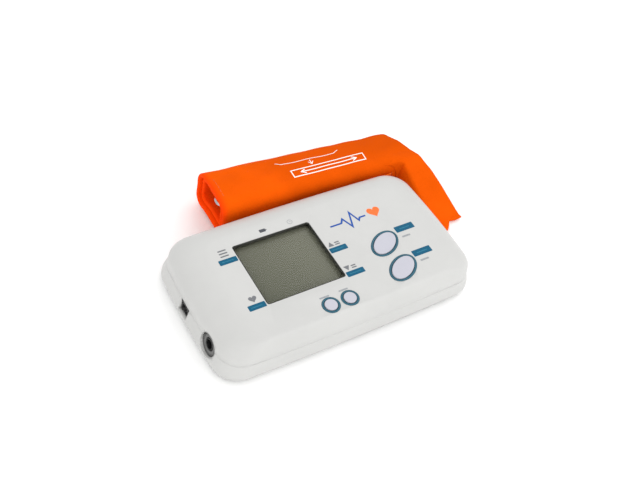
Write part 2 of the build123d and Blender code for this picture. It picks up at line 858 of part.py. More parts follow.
with BuildPart() as buzzer:
    with BuildSketch(Plane.XY.offset(board_bottom)):
        with Locations(buzzer_place):
            Circle(buzzer_radius)
    extrude(amount=-buzzer_height)
    with BuildSketch(Plane.XY.offset(board_bottom - buzzer_height)):
        with Locations(buzzer_place):
            Circle(buzzer_radius / 5)
    extrude(amount=buzzer_height / 3, mode=Mode.SUBTRACT)


# Push buttons and their rings
def make_button(place, half_length, half_width, tilt, skirt_half_width):
    """Cap with a rounded rim, a skirt that stops it below the cover, and a stem over its switch."""
    with BuildPart() as button:
        with BuildSketch(Plane.XY.offset(skirt_bottom)):
            with Locations(place):
                Ellipse(half_length - button_gap, half_width - button_gap, rotation=tilt)
        extrude(amount=body_height + button_proud - skirt_bottom)
        fillet(button.edges().group_by(Axis.Z)[-1], button_edge)
        with BuildSketch(Plane.XY.offset(skirt_bottom)):
            with Locations(place):
                Ellipse(half_length + button_skirt, skirt_half_width, rotation=tilt)
        extrude(amount=button_skirt_height)
        with BuildSketch(Plane.XY.offset(stem_bottom)):
            with Locations(place):
                Circle(plunger_radius + plunger_clearance)
        extrude(amount=skirt_bottom - stem_bottom)
    return button


def make_ring(place, half_length, half_width, ring_width, tilt):
    """Coloured ring let into the cover round a button hole."""
    with BuildPart() as ring:
        with BuildSketch(Plane.XY.offset(body_height - ring_depth)):
            with Locations(place):
                Ellipse(half_length + ring_width, half_width + ring_width, rotation=tilt)
                Ellipse(half_length, half_width, rotation=tilt, mode=Mode.SUBTRACT)
        extrude(amount=ring_depth + ring_proud)
    return ring


large_button = (large_half_length, large_half_width, large_tilt, large_half_width + button_skirt)
small_button = (small_radius, small_radius, 0, small_radius - button_skirt * 2 / 3)
start_stop_button = make_button(start_place, *large_button)
memory_button = make_button(memory_place, *large_button)
hour_button = make_button(hour_place, *small_button)
minute_button = make_button(minute_place, *small_button)
start_button_ring = make_ring(
    start_place, large_half_length, large_half_width, large_ring_width, large_tilt
)
memory_button_ring = make_ring(
    memory_place, large_half_length, large_half_width, large_ring_width, large_tilt
)
hour_button_ring = make_ring(hour_place, small_radius, small_radius, small_ring_width, 0)
minute_button_ring = make_ring(minute_place, small_radius, small_radius, small_ring_width, 0)

# Air socket: grey bush clamped between the housings, dark core with a nipple inside
with BuildPart() as air_socket_ring:
    with BuildSketch(air_face.offset(-air_ring_sink)):
        Circle(air_ring_radius)
        Circle(air_core_radius + seat_gap, mode=Mode.SUBTRACT)
    extrude(amount=-air_ring_length)
    chamfer(air_socket_ring.edges().sort_by(air_outward)[-1], 0.5)

with BuildPart() as air_socket_core:
    with BuildSketch(air_face.offset(-air_ring_sink - core_sink)):
        Circle(air_core_radius)
    extrude(amount=-air_body_length)
    with BuildSketch(air_face.offset(-air_ring_sink - core_sink)):
        Circle(air_bore_radius)
    extrude(amount=-air_bore_depth, mode=Mode.SUBTRACT)
    with BuildSketch(air_face.offset(-air_ring_sink - core_sink - air_body_length)):
        Circle(nipple_radius)
    extrude(amount=-nipple_length)
    with BuildSketch(air_face.offset(-air_ring_sink - core_sink)):
        Circle(passage_radius)
    extrude(amount=-air_body_length - nipple_length, mode=Mode.SUBTRACT)

# Power socket with its centre pin
with BuildPart() as power_socket:
    with BuildSketch(Plane.YZ.offset(dc_face_x)):
        with Locations((dc_y, dc_z)):
            Rectangle(dc_width - 2 * seat_gap, dc_height - 2 * seat_gap)
    extrude(amount=dc_depth)
    with BuildSketch(Plane.YZ.offset(dc_face_x)):
        with Locations((dc_y, dc_z)):
            Circle(dc_bore_radius)
    extrude(amount=dc_bore_depth, mode=Mode.SUBTRACT)

with BuildPart() as power_socket_pin:
    with BuildSketch(Plane.YZ.offset(dc_face_x + dc_bore_depth)):
        with Locations((dc_y, dc_z)):
            Circle(dc_pin_radius)
    extrude(amount=-dc_bore_depth + 1)
    fillet(power_socket_pin.edges().group_by(Axis.X)[0], dc_pin_radius * 0.6)

# Battery cells, springs, contact plates and door
with BuildPart() as aa_cells:
    for cell in range(cell_count):
        way = 1 if cell % 2 == 0 else -1
        start_x = bay_middle - way * (bay_length / 2 - contact_thickness - spring_room)
        cell_plane = Plane(
            origin=(start_x, (cell - (cell_count - 1) / 2) * cell_pitch, cell_axis_z),
            x_dir=(0, 1, 0),
            z_dir=(way, 0, 0),
        )
        with BuildSketch(cell_plane):
            Circle(cell_radius)
        extrude(amount=cell_length)
        with BuildSketch(cell_plane):
            Circle(cell_nub_radius)
        extrude(amount=cell_length + cell_nub_length)

with BuildPart() as battery_contacts:
    for side, groups in ((-1, ((0,), (1, 2), (3,))), (1, ((0, 1), (2, 3)))):
        plate_x = bay_middle + side * (bay_length - contact_thickness) / 2
        for group in groups:
            group_y = (sum(group) / len(group) - (cell_count - 1) / 2) * cell_pitch
            with BuildSketch(Plane.YZ.offset(plate_x)):
                with Locations((group_y, cell_axis_z)):
                    Rectangle((len(group) - 1) * cell_pitch + contact_width, contact_width)
            extrude(amount=contact_thickness / 2, both=True)

with BuildPart() as battery_springs:
    for cell in range(cell_count):
        way = 1 if cell % 2 == 0 else -1
        spring_plane = Plane(
            origin=(
                bay_middle - way * (bay_length / 2 - contact_thickness - spring_wire),
                (cell - (cell_count - 1) / 2) * cell_pitch,
                cell_axis_z,
            ),
            x_dir=(0, 1, 0),
            z_dir=(way, 0, 0),
        )
        coil_height = spring_room - 2 * spring_wire
        with BuildLine():
            coil = Helix(
                coil_height / spring_turns,
                coil_height,
                spring_radius,
                center=spring_plane.origin,
                direction=spring_plane.z_dir,
            )
        with BuildSketch(Plane(origin=coil @ 0, z_dir=coil % 0)):
            Circle(spring_wire)
        sweep(path=coil, is_frenet=True)

with BuildPart() as battery_door:
    with BuildSketch(Plane.XY.offset(foot_height)):
        with Locations((bay_middle, door_inner_end - half_depth)):
            Rectangle(door_right - door_left, body_depth)
    extrude(amount=door_thickness)
    with BuildSketch(Plane.XY.offset(tongue_bottom)):
        with Locations((bay_middle, door_inner_end - half_depth)):
            Rectangle(door_right - door_left + 2 * door_tongue, body_depth)
    extrude(amount=door_tongue_height)
    add(outer_form, mode=Mode.INTERSECT)
    with BuildSketch(Plane.XY.offset(foot_height)):
        with Locations((bay_middle, grip_y)):
            with GridLocations(1, grip_rib_pitch, 1, grip_rib_count):
                SlotOverall(grip_length, grip_rib_pitch / 2)
    extrude(amount=-grip_rib_height)

# Housing screws and rubber feet
with BuildPart() as housing_screws:
    with BuildSketch(Plane.XY.offset(screw_seat)):
        with Locations(*screw_places):
            Circle(screw_radius)
    extrude(amount=screw_length)
    with BuildSketch(Plane.XY.offset(screw_seat)):
        with Locations(*screw_places):
            Circle(screw_head_radius)
    extrude(amount=-screw_head_height)
    with BuildSketch(Plane.XY.offset(screw_seat - screw_head_height)):
        with Locations(*screw_places):
            Rectangle(cross_slot[1], cross_slot[0])
            Rectangle(*cross_slot)
    extrude(amount=screw_head_height / 2, mode=Mode.SUBTRACT)

with BuildPart() as rubber_feet:
    with BuildSketch(Plane.XY):
        with Locations(*foot_places):
            Circle(foot_radius)
    extrude(amount=foot_height + foot_sink)
    chamfer(rubber_feet.edges().group_by(Axis.Z)[0], foot_height / 2)

# Air pump: motor in its rubber sleeve, and the pump head with its outlet
motor_face = Plane.XZ.offset(-motor_front)
with BuildPart() as pump_motor:
    with BuildSketch(motor_face):
        with Locations((pump_x, pump_z)):
            Circle(pump_radius)
    extrude(amount=-motor_length)
    fillet(pump_motor.edges().group_by(Axis.Y)[-1], motor_edge_radius)
    with BuildSketch(motor_face.offset(-motor_length)):
        with Locations((pump_x, pump_z)):
            Circle(pump_radius / 4)
    extrude(amount=-2)

with BuildPart() as pump_sleeve:
    with BuildSketch(motor_face.offset(-motor_length + sleeve_length + sleeve_end_gap)):
        with Locations((pump_x, pump_z)):
            Circle(sleeve_radius)
            Circle(pump_radius, mode=Mode.SUBTRACT)
    extrude(amount=-sleeve_length)

with BuildPart() as pump_head:
    with BuildSketch(motor_face):
        with Locations((pump_x, pump_z)):
            RectangleRounded(pump_head_width, pump_head_width, 3)
    extrude(amount=pump_head_length)
    with BuildSketch(motor_face.offset(pump_head_length)):
        with Locations((pump_outlet_x, pump_z)):
            Circle(nipple_radius)
    extrude(amount=nipple_length)
    with BuildSketch(motor_face.offset(pump_head_length + nipple_length)):
        with Locations((pump_outlet_x, pump_z)):
            Circle(passage_radius)
    extrude(amount=-nipple_length * 2, mode=Mode.SUBTRACT)

# Manifold and release valve
with BuildPart() as air_manifold:
    with BuildSketch(Plane.XY.offset(manifold_z - manifold_height / 2)):
        with Locations((manifold_x, air_y)):
            RectangleRounded(manifold_length, manifold_width, manifold_edge_radius)
    extrude(amount=manifold_height)
    for nipple_plane in manifold_nipples:
        with BuildSketch(nipple_plane):
            Circle(nipple_radius)
        extrude(amount=nipple_length)
    for nipple_plane in manifold_nipples:
        with BuildSketch(nipple_plane.offset(nipple_length)):
            Circle(passage_radius)
        extrude(amount=-nipple_length * 1.6, mode=Mode.SUBTRACT)

with BuildPart() as release_valve:
    with BuildSketch(Plane.XZ.offset(-valve_y)):
        with Locations((valve_x, manifold_z)):
            Rectangle(valve_width, valve_height)
    extrude(amount=-valve_length * 0.25)
    with BuildSketch(Plane.XZ.offset(-valve_y)):
        with Locations((valve_x, manifold_z)):
            Circle(nipple_radius)
    extrude(amount=nipple_length)
    with BuildSketch(Plane.XZ.offset(-valve_y + nipple_length)):
        with Locations((valve_x, manifold_z)):
            Circle(passage_radius)
    extrude(amount=-nipple_length * 1.5, mode=Mode.SUBTRACT)

with BuildPart() as valve_coil:
    with BuildSketch(Plane.XZ.offset(-valve_y - valve_length * 0.25)):
        with Locations((valve_x, manifold_z)):
            RectangleRounded(valve_width, valve_height, 2)
    extrude(amount=-valve_length * 0.75)


# Air tubes, each pushed over a nipple at both ends
def make_tube(points, radii):
    """Rubber tube along straight runs joined by arcs."""
    with BuildPart() as tube:
        with BuildLine():
            route = FilletPolyline(*points, radius=radii)
        with BuildSketch(Plane(origin=route @ 0, z_dir=route % 0)):
            Circle(tube_radius)
            Circle(nipple_radius, mode=Mode.SUBTRACT)
        sweep(path=route)
    return tube


pump_tube = make_tube(pump_route, pump_bends)
socket_tube = make_tube(socket_route, socket_bends)
valve_tube = make_tube(valve_route, valve_bends)
sensor_tube = make_tube(sensor_route, sensor_bends)


# Cuff: wound fabric layers round a steel ring, with a port, fastener strips and a loose tail
def cuff_section(skin, x):
    """Soft rounded section of the tapering roll, moved in by the layers outside it."""
    front = cuff_front + skin
    back = cuff_front + along_roll(cuff_depth, cuff_depth_right, x) - skin
    top = along_roll(cuff_height, cuff_height_right, x) - skin
    low = max(cuff_low_radius - skin, least_radius)
    near = max(cuff_front_radius - skin, least_radius)
    far = max(along_roll(cuff_back_radius, cuff_back_radius_right, x) - skin, least_radius)
    with BuildSketch(Plane.YZ.offset(x)) as section:
        with BuildLine():
            CenterArc((front + low, skin + low), low, 180, 90)
            Line((front + low, skin), (back - low, skin))
            CenterArc((back - low, skin + low), low, 270, 90)
            Line((back, skin + low), (back, top - far))
            CenterArc((back - far, top - far), far, 0, 90)
            ThreePointArc((back - far, top), ((front + back) / 2, top + cuff_crown), (front + near, top))
            CenterArc((front + near, top - near), near, 90, 90)
            Line((front, top - near), (front, skin + low))
        make_face()
    return section.sketch


def cuff_form(skin):
    """Solid form of the roll, moved in by the layers outside it."""
    with BuildPart() as form:
        loft([cuff_section(skin, cuff_left), cuff_section(skin, cuff_left + cuff_taper_length)])
    return form.part


with BuildPart() as cuff_tail:
    with BuildSketch(Plane.YZ.offset(tail_left)):
        with BuildLine():
            FilletPolyline(*tail_line, radius=tail_bends)
            offset(amount=tail_thickness, side=Side.LEFT)
        make_face()
    extrude(amount=tail_tip[0] - tail_left)
    with BuildSketch(Plane.XY.offset(-1)):
        with BuildLine():
            Polyline(*tail_outline, close=True)
        make_face()
    extrude(amount=cuff_top + 2, mode=Mode.INTERSECT)


with BuildPart() as cuff_tail_fold:
    with BuildSketch():
        with BuildLine():
            Polyline(*tail_fold_outline, close=True)
        make_face()
        fillet(vertices(), tail_fold_radius)
    extrude(amount=tail_thickness)


def make_layer(outside, thickness):
    """One turn of the roll, cut at the slanted right end and under the tail."""
    with BuildPart() as layer:
        add(cuff_form(outside))
        add(cuff_form(outside + thickness), mode=Mode.SUBTRACT)
        split(bisect_by=end_plane, keep=Keep.BOTTOM)
        add(cuff_tail.part, mode=Mode.SUBTRACT)
    return layer


cuff_cover = make_layer(0, cover_thickness)
cuff_bladder = make_layer(cover_thickness, bladder_thickness)
cuff_lining = make_layer(cover_thickness + bladder_thickness, lining_thickness)

with BuildPart() as cuff_inner_wrap:
    add(cuff_form(inner_skin))
    for core_x in (cuff_left, cuff_left + cuff_taper_length):
        core_y, core_z, core_length, core_height = core_at(core_x)
        with BuildSketch(Plane.YZ.offset(core_x)):
            with Locations((core_y, core_z)):
                Ellipse(core_length, core_height)
    loft(mode=Mode.SUBTRACT)
    split(bisect_by=end_plane, keep=Keep.BOTTOM)

with BuildPart() as cuff_loop_strip:
    with BuildSketch(Plane.XZ.offset(-cuff_front)):
        with Locations(((cuff_left + cuff_right) / 2, loop_strip_z)):
            RectangleRounded(cuff_right - cuff_left - 2 * strip_margin, loop_strip_height, 2)
    extrude(amount=loop_strip_thickness)

with BuildPart() as cuff_hook_strip:
    with BuildSketch(Plane.YZ.offset(tail_left + hook_margin)):
        with Locations(Location((*tail_slope_middle, 0), (0, 0, math.degrees(tail_slope)))):
            with Locations((0, -tail_thickness - hook_thickness / 2)):
                Rectangle(hook_length, hook_thickness)
    extrude(amount=hook_width)

with BuildPart() as cuff_d_ring:
    with BuildLine():
        loop = FilletPolyline(*ring_corners, radius=ring_corner_radius, close=True)
    with BuildSketch(Plane(origin=loop @ 0, z_dir=loop % 0)):
        Circle(ring_wire_radius)
    sweep(path=loop)

with BuildPart() as cuff_port:
    with BuildSketch(port_plane):
        Circle(port_flange_radius)
    extrude(amount=port_flange_thickness)
    with BuildSketch(port_plane):
        Circle(port_radius)
    extrude(amount=port_length)
    with BuildSketch(port_plane):
        Circle(port_bore_radius)
    extrude(amount=port_length, mode=Mode.SUBTRACT)

# Every piece under its own name, moved so that the set's footprint is centred
pieces = {
    "upper_housing": upper_housing,
    "lower_housing": lower_housing,
    "window_liner": window_liner,
    "display_lens": display_lens,
    "lcd_panel": lcd_panel,
    "lcd_frame": lcd_frame,
    "zebra_strips": zebra_strips,
    "main_board": main_board,
    "board_chips": board_chips,
    "tact_switches": tact_switches,
    "board_screws": board_screws,
    "pressure_sensor": pressure_sensor,
    "buzzer": buzzer,
    "start_stop_button": start_stop_button,
    "memory_button": memory_button,
    "hour_button": hour_button,
    "minute_button": minute_button,
    "start_button_ring": start_button_ring,
    "memory_button_ring": memory_button_ring,
    "hour_button_ring": hour_button_ring,
    "minute_button_ring": minute_button_ring,
    "air_socket_ring": air_socket_ring,
    "air_socket_core": air_socket_core,
    "power_socket": power_socket,
    "power_socket_pin": power_socket_pin,
    "aa_cells": aa_cells,
    "battery_contacts": battery_contacts,
    "battery_springs": battery_springs,
    "battery_door": battery_door,
    "housing_screws": housing_screws,
    "rubber_feet": rubber_feet,
    "pump_motor": pump_motor,
    "pump_sleeve": pump_sleeve,
    "pump_head": pump_head,
    "air_manifold": air_manifold,
    "release_valve": release_valve,
    "valve_coil": valve_coil,
    "pump_tube": pump_tube,
    "socket_tube": socket_tube,
    "valve_tube": valve_tube,
    "sensor_tube": sensor_tube,
    "cuff_cover": cuff_cover,
    "cuff_bladder": cuff_bladder,
    "cuff_lining": cuff_lining,
    "cuff_inner_wrap": cuff_inner_wrap,
    "cuff_loop_strip": cuff_loop_strip,
    "cuff_hook_strip": cuff_hook_strip,
    "cuff_tail": cuff_tail,
    "cuff_tail_fold": cuff_tail_fold,
    "cuff_d_ring": cuff_d_ring,
    "cuff_port": cuff_port,
}
os.makedirs("parts", exist_ok=True)
for name, piece in pieces.items():
    piece.part.move(Location((-set_centre[0], -set_centre[1], 0)))
    piece.part.label = name
    export_step(piece.part, f"parts/{name}.step")
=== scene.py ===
import math

import bpy
import numpy as np
from mathutils import Matrix, Vector


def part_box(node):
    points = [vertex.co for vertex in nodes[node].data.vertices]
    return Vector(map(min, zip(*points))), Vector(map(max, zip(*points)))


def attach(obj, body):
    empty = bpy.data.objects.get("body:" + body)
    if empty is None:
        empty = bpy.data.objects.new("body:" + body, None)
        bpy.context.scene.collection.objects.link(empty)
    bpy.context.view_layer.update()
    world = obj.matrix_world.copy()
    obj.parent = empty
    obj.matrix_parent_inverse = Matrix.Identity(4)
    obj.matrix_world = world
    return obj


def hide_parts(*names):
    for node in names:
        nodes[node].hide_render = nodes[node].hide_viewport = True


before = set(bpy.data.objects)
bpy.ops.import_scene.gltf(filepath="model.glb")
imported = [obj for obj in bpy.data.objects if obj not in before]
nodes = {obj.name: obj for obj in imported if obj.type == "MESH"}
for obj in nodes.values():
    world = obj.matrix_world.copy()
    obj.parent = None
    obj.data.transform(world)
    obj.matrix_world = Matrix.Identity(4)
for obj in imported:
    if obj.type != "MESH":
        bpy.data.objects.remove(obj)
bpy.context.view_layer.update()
scene = bpy.context.scene
MM = 0.001

# The monitor's own frame: millimetres from the centre of its footprint
low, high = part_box("lower_housing")
CENTRE = Vector(((low.x + high.x) / 2, (low.y + high.y) / 2, 0))
TOP = 28.3  # the flat of the cover


def place(x, y, z=0.0):
    """A point in metres in the row frame, from millimetres in the monitor's frame."""
    return CENTRE + Vector((x, y, z)) * MM


# Camera at the photograph's viewing angle
AZIMUTH, ELEVATION, TILT = (math.radians(v) for v in (-40.10, 48.02, 13.17))
FOCAL_PIXELS, IMAGE_WIDTH, SENSOR_WIDTH = 873.2, 640, 36
CAMERA_PLACE = (-211.5, -245.5, 394.1)
CLIP_NEAR, CLIP_FAR = 0.01, 20
back = Vector((
    math.sin(AZIMUTH) * math.cos(ELEVATION),
    -math.cos(AZIMUTH) * math.cos(ELEVATION),
    math.sin(ELEVATION),
))
right = Vector((math.cos(AZIMUTH), math.sin(AZIMUTH), 0))
up = back.cross(right)
right, up = (
    math.cos(TILT) * right + math.sin(TILT) * up,
    -math.sin(TILT) * right + math.cos(TILT) * up,
)
camera = bpy.data.objects.new("camera", bpy.data.cameras.new("camera"))
scene.collection.objects.link(camera)
scene.camera = camera
camera.data.lens = FOCAL_PIXELS * SENSOR_WIDTH / IMAGE_WIDTH
camera.data.sensor_width = SENSOR_WIDTH
camera.data.clip_start = CLIP_NEAR
camera.data.clip_end = CLIP_FAR
turn = Matrix((right, up, back)).transposed().to_4x4()
camera.matrix_world = Matrix.Translation(place(*CAMERA_PLACE)) @ turn


# Materials
COLOUR_A, COLOUR_B, COLOUR_OUT = 6, 7, 2  # the Mix node's colour sockets
# Scales of the noise patterns, in cells per metre
DRIFT, SMEAR, GRAIN = 55, 240, 2600
DRAWN_MARKS, DUST, DULLNESS, PORES = 900, 320, 700, 1800
FIBRES, SHADING, INK_COVER, INK_GRAIN = 1500, 28, 1400, 3000
LENS_SMEAR, CELL_DRIFT, FLOOR_DRIFT = 90, 40, 6
# Depths of the relief, in metres
SKIN_DEPTH, FINE_DEPTH, RUBBER_DEPTH = 0.00012, 0.00005, 0.0001
SEAM_HEIGHT, SEAM_LINE = 0.014, (0.00006, 0.00016)  # and the two half widths of its line of painted shade
# The cuff's part darkened by painted shade, in mm, to the right and to the back
SHADE_X, SHADE_Y = (0, 70), (44, 62)
# Painted light makes the display paler towards the back right, measured in mm between two points
CELL_FRONT, CELL_BACK, CELL_LEAN = (-46, -20), (0, 20), 0.9


def linear(rgb):
    """Display colour 0 to 255 as the linear colour that shaders take."""
    return [((c / 255 + 0.055) / 1.055) ** 2.4 if c > 10 else c / 3294 for c in rgb] + [1]


def start_material(name):
    """A node material and its shader."""
    material = bpy.data.materials.new(name)
    material.use_nodes = True
    return material, material.node_tree, material.node_tree.nodes["Principled BSDF"]


def add_node(tree, kind, inputs=None, **settings):
    """One node with its settings and its inputs, each a value or another node's output."""
    node = tree.nodes.new(kind)
    for key, value in settings.items():
        setattr(node, key, value)
    for key, value in (inputs or {}).items():
        if isinstance(value, bpy.types.NodeSocket):
            tree.links.new(value, node.inputs[key])
        else:
            node.inputs[key].default_value = value
    return node


def math_node(tree, operation, *values):
    """Result of a sum, product or comparison."""
    node = add_node(tree, "ShaderNodeMath", dict(enumerate(values)), operation=operation)
    return node.outputs[0]


def where(tree):
    """Place on the object, in metres in the row frame."""
    return add_node(tree, "ShaderNodeTexCoord").outputs["Object"]


def mottle(tree, scale, detail=2.0, vector=None):
    """Soft random pattern."""
    pattern = {"Vector": vector or where(tree), "Scale": scale, "Detail": detail}
    return add_node(tree, "ShaderNodeTexNoise", pattern).outputs["Fac"]


def between(tree, share, first, second, start=0.0, end=1.0):
    """Colour or number that goes from first to second as share goes from start to end."""
    limits = {"Value": share, "From Min": start, "From Max": end}
    ramp = add_node(tree, "ShaderNodeMapRange", limits)
    if isinstance(first, (int, float)):
        ramp.inputs["To Min"].default_value = first
        ramp.inputs["To Max"].default_value = second
        return ramp.outputs[0]
    mix = add_node(tree, "ShaderNodeMix", {"Factor": ramp.outputs[0]}, data_type="RGBA")
    for number, colour in ((COLOUR_A, first), (COLOUR_B, second)):
        socket = mix.inputs[number]
        if isinstance(colour, bpy.types.NodeSocket):
            tree.links.new(colour, socket)
        else:
            socket.default_value = colour
    return mix.outputs[COLOUR_OUT]


def add_bump(tree, shader, height, strength, distance):
    """Surface relief from a height."""
    bump = add_node(
        tree, "ShaderNodeBump", {"Height": height, "Strength": strength, "Distance": distance}
    )
    tree.links.new(bump.outputs[0], shader.inputs["Normal"])


def plastic(name, colour, roughness=0.42, grain=0.12, spread=6):
    """Moulded plastic: slight colour drift, fine grain and uneven gloss."""
    material, tree, shader = start_material(name)
    darker = linear([max(0, c - spread) for c in colour])
    tone = between(tree, mottle(tree, DRIFT, 3), linear(colour), darker, 0.35, 0.75)
    tree.links.new(tone, shader.inputs["Base Color"])
    smear = mottle(tree, SMEAR, 2)
    gloss = between(tree, smear, roughness - 0.05, roughness + 0.06, 0.3, 0.7)
    tree.links.new(gloss, shader.inputs["Roughness"])
    add_bump(tree, shader, mottle(tree, GRAIN, 2), grain, SKIN_DEPTH)
    return material


def metal(name, colour, roughness=0.28, stretch=(1, 1, 1)):
    """Metal with fine drawn marks and uneven gloss."""
    material, tree, shader = start_material(name)
    drawn = add_node(tree, "ShaderNodeMapping", {"Vector": where(tree), "Scale": stretch})
    marks = mottle(tree, DRAWN_MARKS, 4, drawn.outputs[0])
    darker = linear([c * 0.82 for c in colour])
    tone = between(tree, marks, linear(colour), darker, 0.3, 0.7)
    tree.links.new(tone, shader.inputs["Base Color"])
    gloss = between(tree, marks, roughness - 0.08, roughness + 0.1, 0.3, 0.7)
    tree.links.new(gloss, shader.inputs["Roughness"])
    shader.inputs["Metallic"].default_value = 1.0
    add_bump(tree, shader, marks, 0.1, FINE_DEPTH)
    return material


def rubber(name, colour):
    """Dull rubber with a dusty bloom."""
    material, tree, shader = start_material(name)
    paler = linear([min(255, c + 22) for c in colour])
    tone = between(tree, mottle(tree, DUST, 4), linear(colour), paler, 0.4, 0.8)
    tree.links.new(tone, shader.inputs["Base Color"])
    gloss = between(tree, mottle(tree, DULLNESS), 0.6, 0.8, 0.3, 0.7)
    tree.links.new(gloss, shader.inputs["Roughness"])
    add_bump(tree, shader, mottle(tree, PORES, 3), 0.25, RUBBER_DEPTH)
    return material


def fabric(name, colour, painted_shade_colour, pitch=0.55, pile=0.0):
    """Woven nylon: crossed threads, slubs, broad shading, painted shade towards the back right and
    redder painted shade on the roll's end and inner turns.
    """
    material, tree, shader = start_material(name)
    waves = {
        "Vector": add_node(tree, "ShaderNodeUVMap", uv_map="cloth").outputs[0],
        "Scale": 1000 / pitch / 20 * math.pi,  # threads and gaps each pitch mm wide
        "Distortion": 0.6,
        "Detail": 1.0,
        "Detail Scale": 2.0,
    }
    threads = [
        add_node(tree, "ShaderNodeTexWave", waves, wave_type="BANDS", bands_direction=way)
        for way in ("X", "Y")
    ]
    weave = math_node(tree, "MAXIMUM", *(band.outputs["Fac"] for band in threads))
    fine = mottle(tree, FIBRES, 3)
    broad = mottle(tree, SHADING, 3)
    bright = linear([min(255, c * 1.04 + 2) for c in colour])
    dark = linear([c * 0.93 for c in colour])
    darker = linear([c * 0.9 for c in colour])
    tone = between(tree, broad, bright, dark, 0.3, 0.72)
    tone = between(tree, fine, tone, darker, 0.55, 0.95)
    # Painted shade: the cloth is darker towards the back right of the cuff.
    parts = add_node(tree, "ShaderNodeSeparateXYZ", {"Vector": where(tree)}).outputs
    along = between(tree, parts["X"], 0.0, 1.0, *(place(x, 0).x for x in SHADE_X))
    behind = between(tree, parts["Y"], 0.0, 1.0, *(place(0, y).y for y in SHADE_Y))
    tone = between(tree, math_node(tree, "MULTIPLY", along, behind), tone, darker)
    # Painted shade: redder where the mesh's share is high, on the roll's left end and inner turns.
    edge = add_node(tree, "ShaderNodeAttribute", attribute_name="painted_shade").outputs["Fac"]
    tone = between(tree, edge, tone, linear(painted_shade_colour))
    tree.links.new(tone, shader.inputs["Base Color"])
    tree.links.new(between(tree, fine, 0.62, 0.82, 0.3, 0.7), shader.inputs["Roughness"])
    shader.inputs["Sheen Weight"].default_value = 0.15 * pile
    shader.inputs["Sheen Roughness"].default_value = 0.45
    shader.inputs["Specular IOR Level"].default_value = 0.02
    height = math_node(tree, "ADD", weave, math_node(tree, "MULTIPLY", fine, 1.0 + 2 * pile))
    add_bump(tree, shader, height, 0.35 + pile, SKIN_DEPTH)
    return material


def print_ink(name, colour, roughness=0.4):
    """Screen-printed ink: slightly uneven cover."""
    material, tree, shader = start_material(name)
    paler = linear([min(255, c + 14) for c in colour])
    tone = between(tree, mottle(tree, INK_COVER, 3), linear(colour), paler, 0.45, 0.8)
    tree.links.new(tone, shader.inputs["Base Color"])
    shader.inputs["Roughness"].default_value = roughness
    shader.inputs["Specular IOR Level"].default_value = 0.15
    add_bump(tree, shader, mottle(tree, INK_GRAIN), 0.08, FINE_DEPTH)
    return material


def housing_plastic():
    """White moulded plastic with a fine, slightly darker line of painted shade where the two halves
    meet.
    """
    material = plastic("housing_plastic", (194, 194, 192), 0.42, 0.08, 3)
    tree = material.node_tree
    base = tree.nodes["Principled BSDF"].inputs["Base Color"]
    tone = base.links[0].from_socket
    height = add_node(tree, "ShaderNodeSeparateXYZ", {"Vector": where(tree)}).outputs["Z"]
    off_seam = math_node(tree, "ABSOLUTE", math_node(tree, "SUBTRACT", height, SEAM_HEIGHT))
    # Painted shade along the seam
    tree.links.new(between(tree, off_seam, linear((186, 187, 185)), tone, *SEAM_LINE), base)
    return material


def lens_clear():
    """Thin clear window: see-through with a surface reflection."""
    material, tree, shader = start_material("lens_clear")
    tree.nodes.remove(shader)
    glass = add_node(tree, "ShaderNodeBsdfTransparent", {"Color": (1, 1, 1, 1)})
    smear = between(tree, mottle(tree, LENS_SMEAR, 3), 0.03, 0.09, 0.3, 0.7)
    gloss = add_node(tree, "ShaderNodeBsdfGlossy", {"Color": (1, 1, 1, 1), "Roughness": smear})
    edge = add_node(tree, "ShaderNodeFresnel", {"IOR": 1.4})
    mirror = math_node(tree, "MULTIPLY", edge.outputs[0], 0.12)
    layers = {0: mirror, 1: glass.outputs[0], 2: gloss.outputs[0]}
    mix = add_node(tree, "ShaderNodeMixShader", layers)
    tree.links.new(mix.outputs[0], tree.nodes["Material Output"].inputs["Surface"])
    return material


def display_face():
    """Grey-green display cell, with painted light making it a little lighter towards the back
    right.
    """
    material, tree, shader = start_material("display_face")
    parts = add_node(tree, "ShaderNodeSeparateXYZ", {"Vector": where(tree)}).outputs
    leaned = math_node(tree, "MULTIPLY", parts["Y"], CELL_LEAN)
    across = math_node(tree, "ADD", parts["X"], leaned)
    start, end = (place(*p).x + CELL_LEAN * place(*p).y for p in (CELL_FRONT, CELL_BACK))
    # Painted light: paler towards the back right.
    tone = between(tree, across, linear((88, 90, 76)), linear((110, 111, 96)), start, end)
    tone = between(tree, mottle(tree, CELL_DRIFT, 2), tone, linear((97, 98, 84)), 0.55, 0.95)
    tree.links.new(tone, shader.inputs["Base Color"])
    shader.inputs["Roughness"].default_value = 0.55
    shader.inputs["Specular IOR Level"].default_value = 0.12
    return material


ORANGE = (230, 86, 2)
RED_ORANGE = (250, 70, 6)
housing = housing_plastic()
cap = plastic("button_plastic", (184, 184, 194), 0.4, 0.05, 3)
teal = plastic("teal_plastic", (8, 84, 104), 0.36, 0.08, 10)
liner = plastic("liner_plastic", (52, 53, 48), 0.5, 0.1, 8)
grey_plastic = plastic("socket_grey_plastic", (98, 98, 97), 0.42, 0.1, 10)
black_plastic = plastic("socket_black_plastic", (18, 18, 19), 0.4, 0.12, 6)
dark_plastic = plastic("dark_plastic", (52, 53, 56), 0.45, 0.12, 8)
pale_plastic = plastic("pale_plastic", (205, 204, 198), 0.45, 0.1, 8)
board_mask = plastic("board_mask", (24, 92, 48), 0.35, 0.1, 12)
coil_tape = plastic("coil_tape", (150, 92, 40), 0.5, 0.2, 20)
steel = metal("bright_steel", (196, 197, 199), 0.24, (1, 0.15, 1))
plated = metal("plated_steel", (214, 212, 206), 0.2)
cell_sleeve = plastic("cell_sleeve", (48, 84, 110), 0.3, 0.05, 10)
foot_rubber = rubber("foot_rubber", (96, 97, 96))
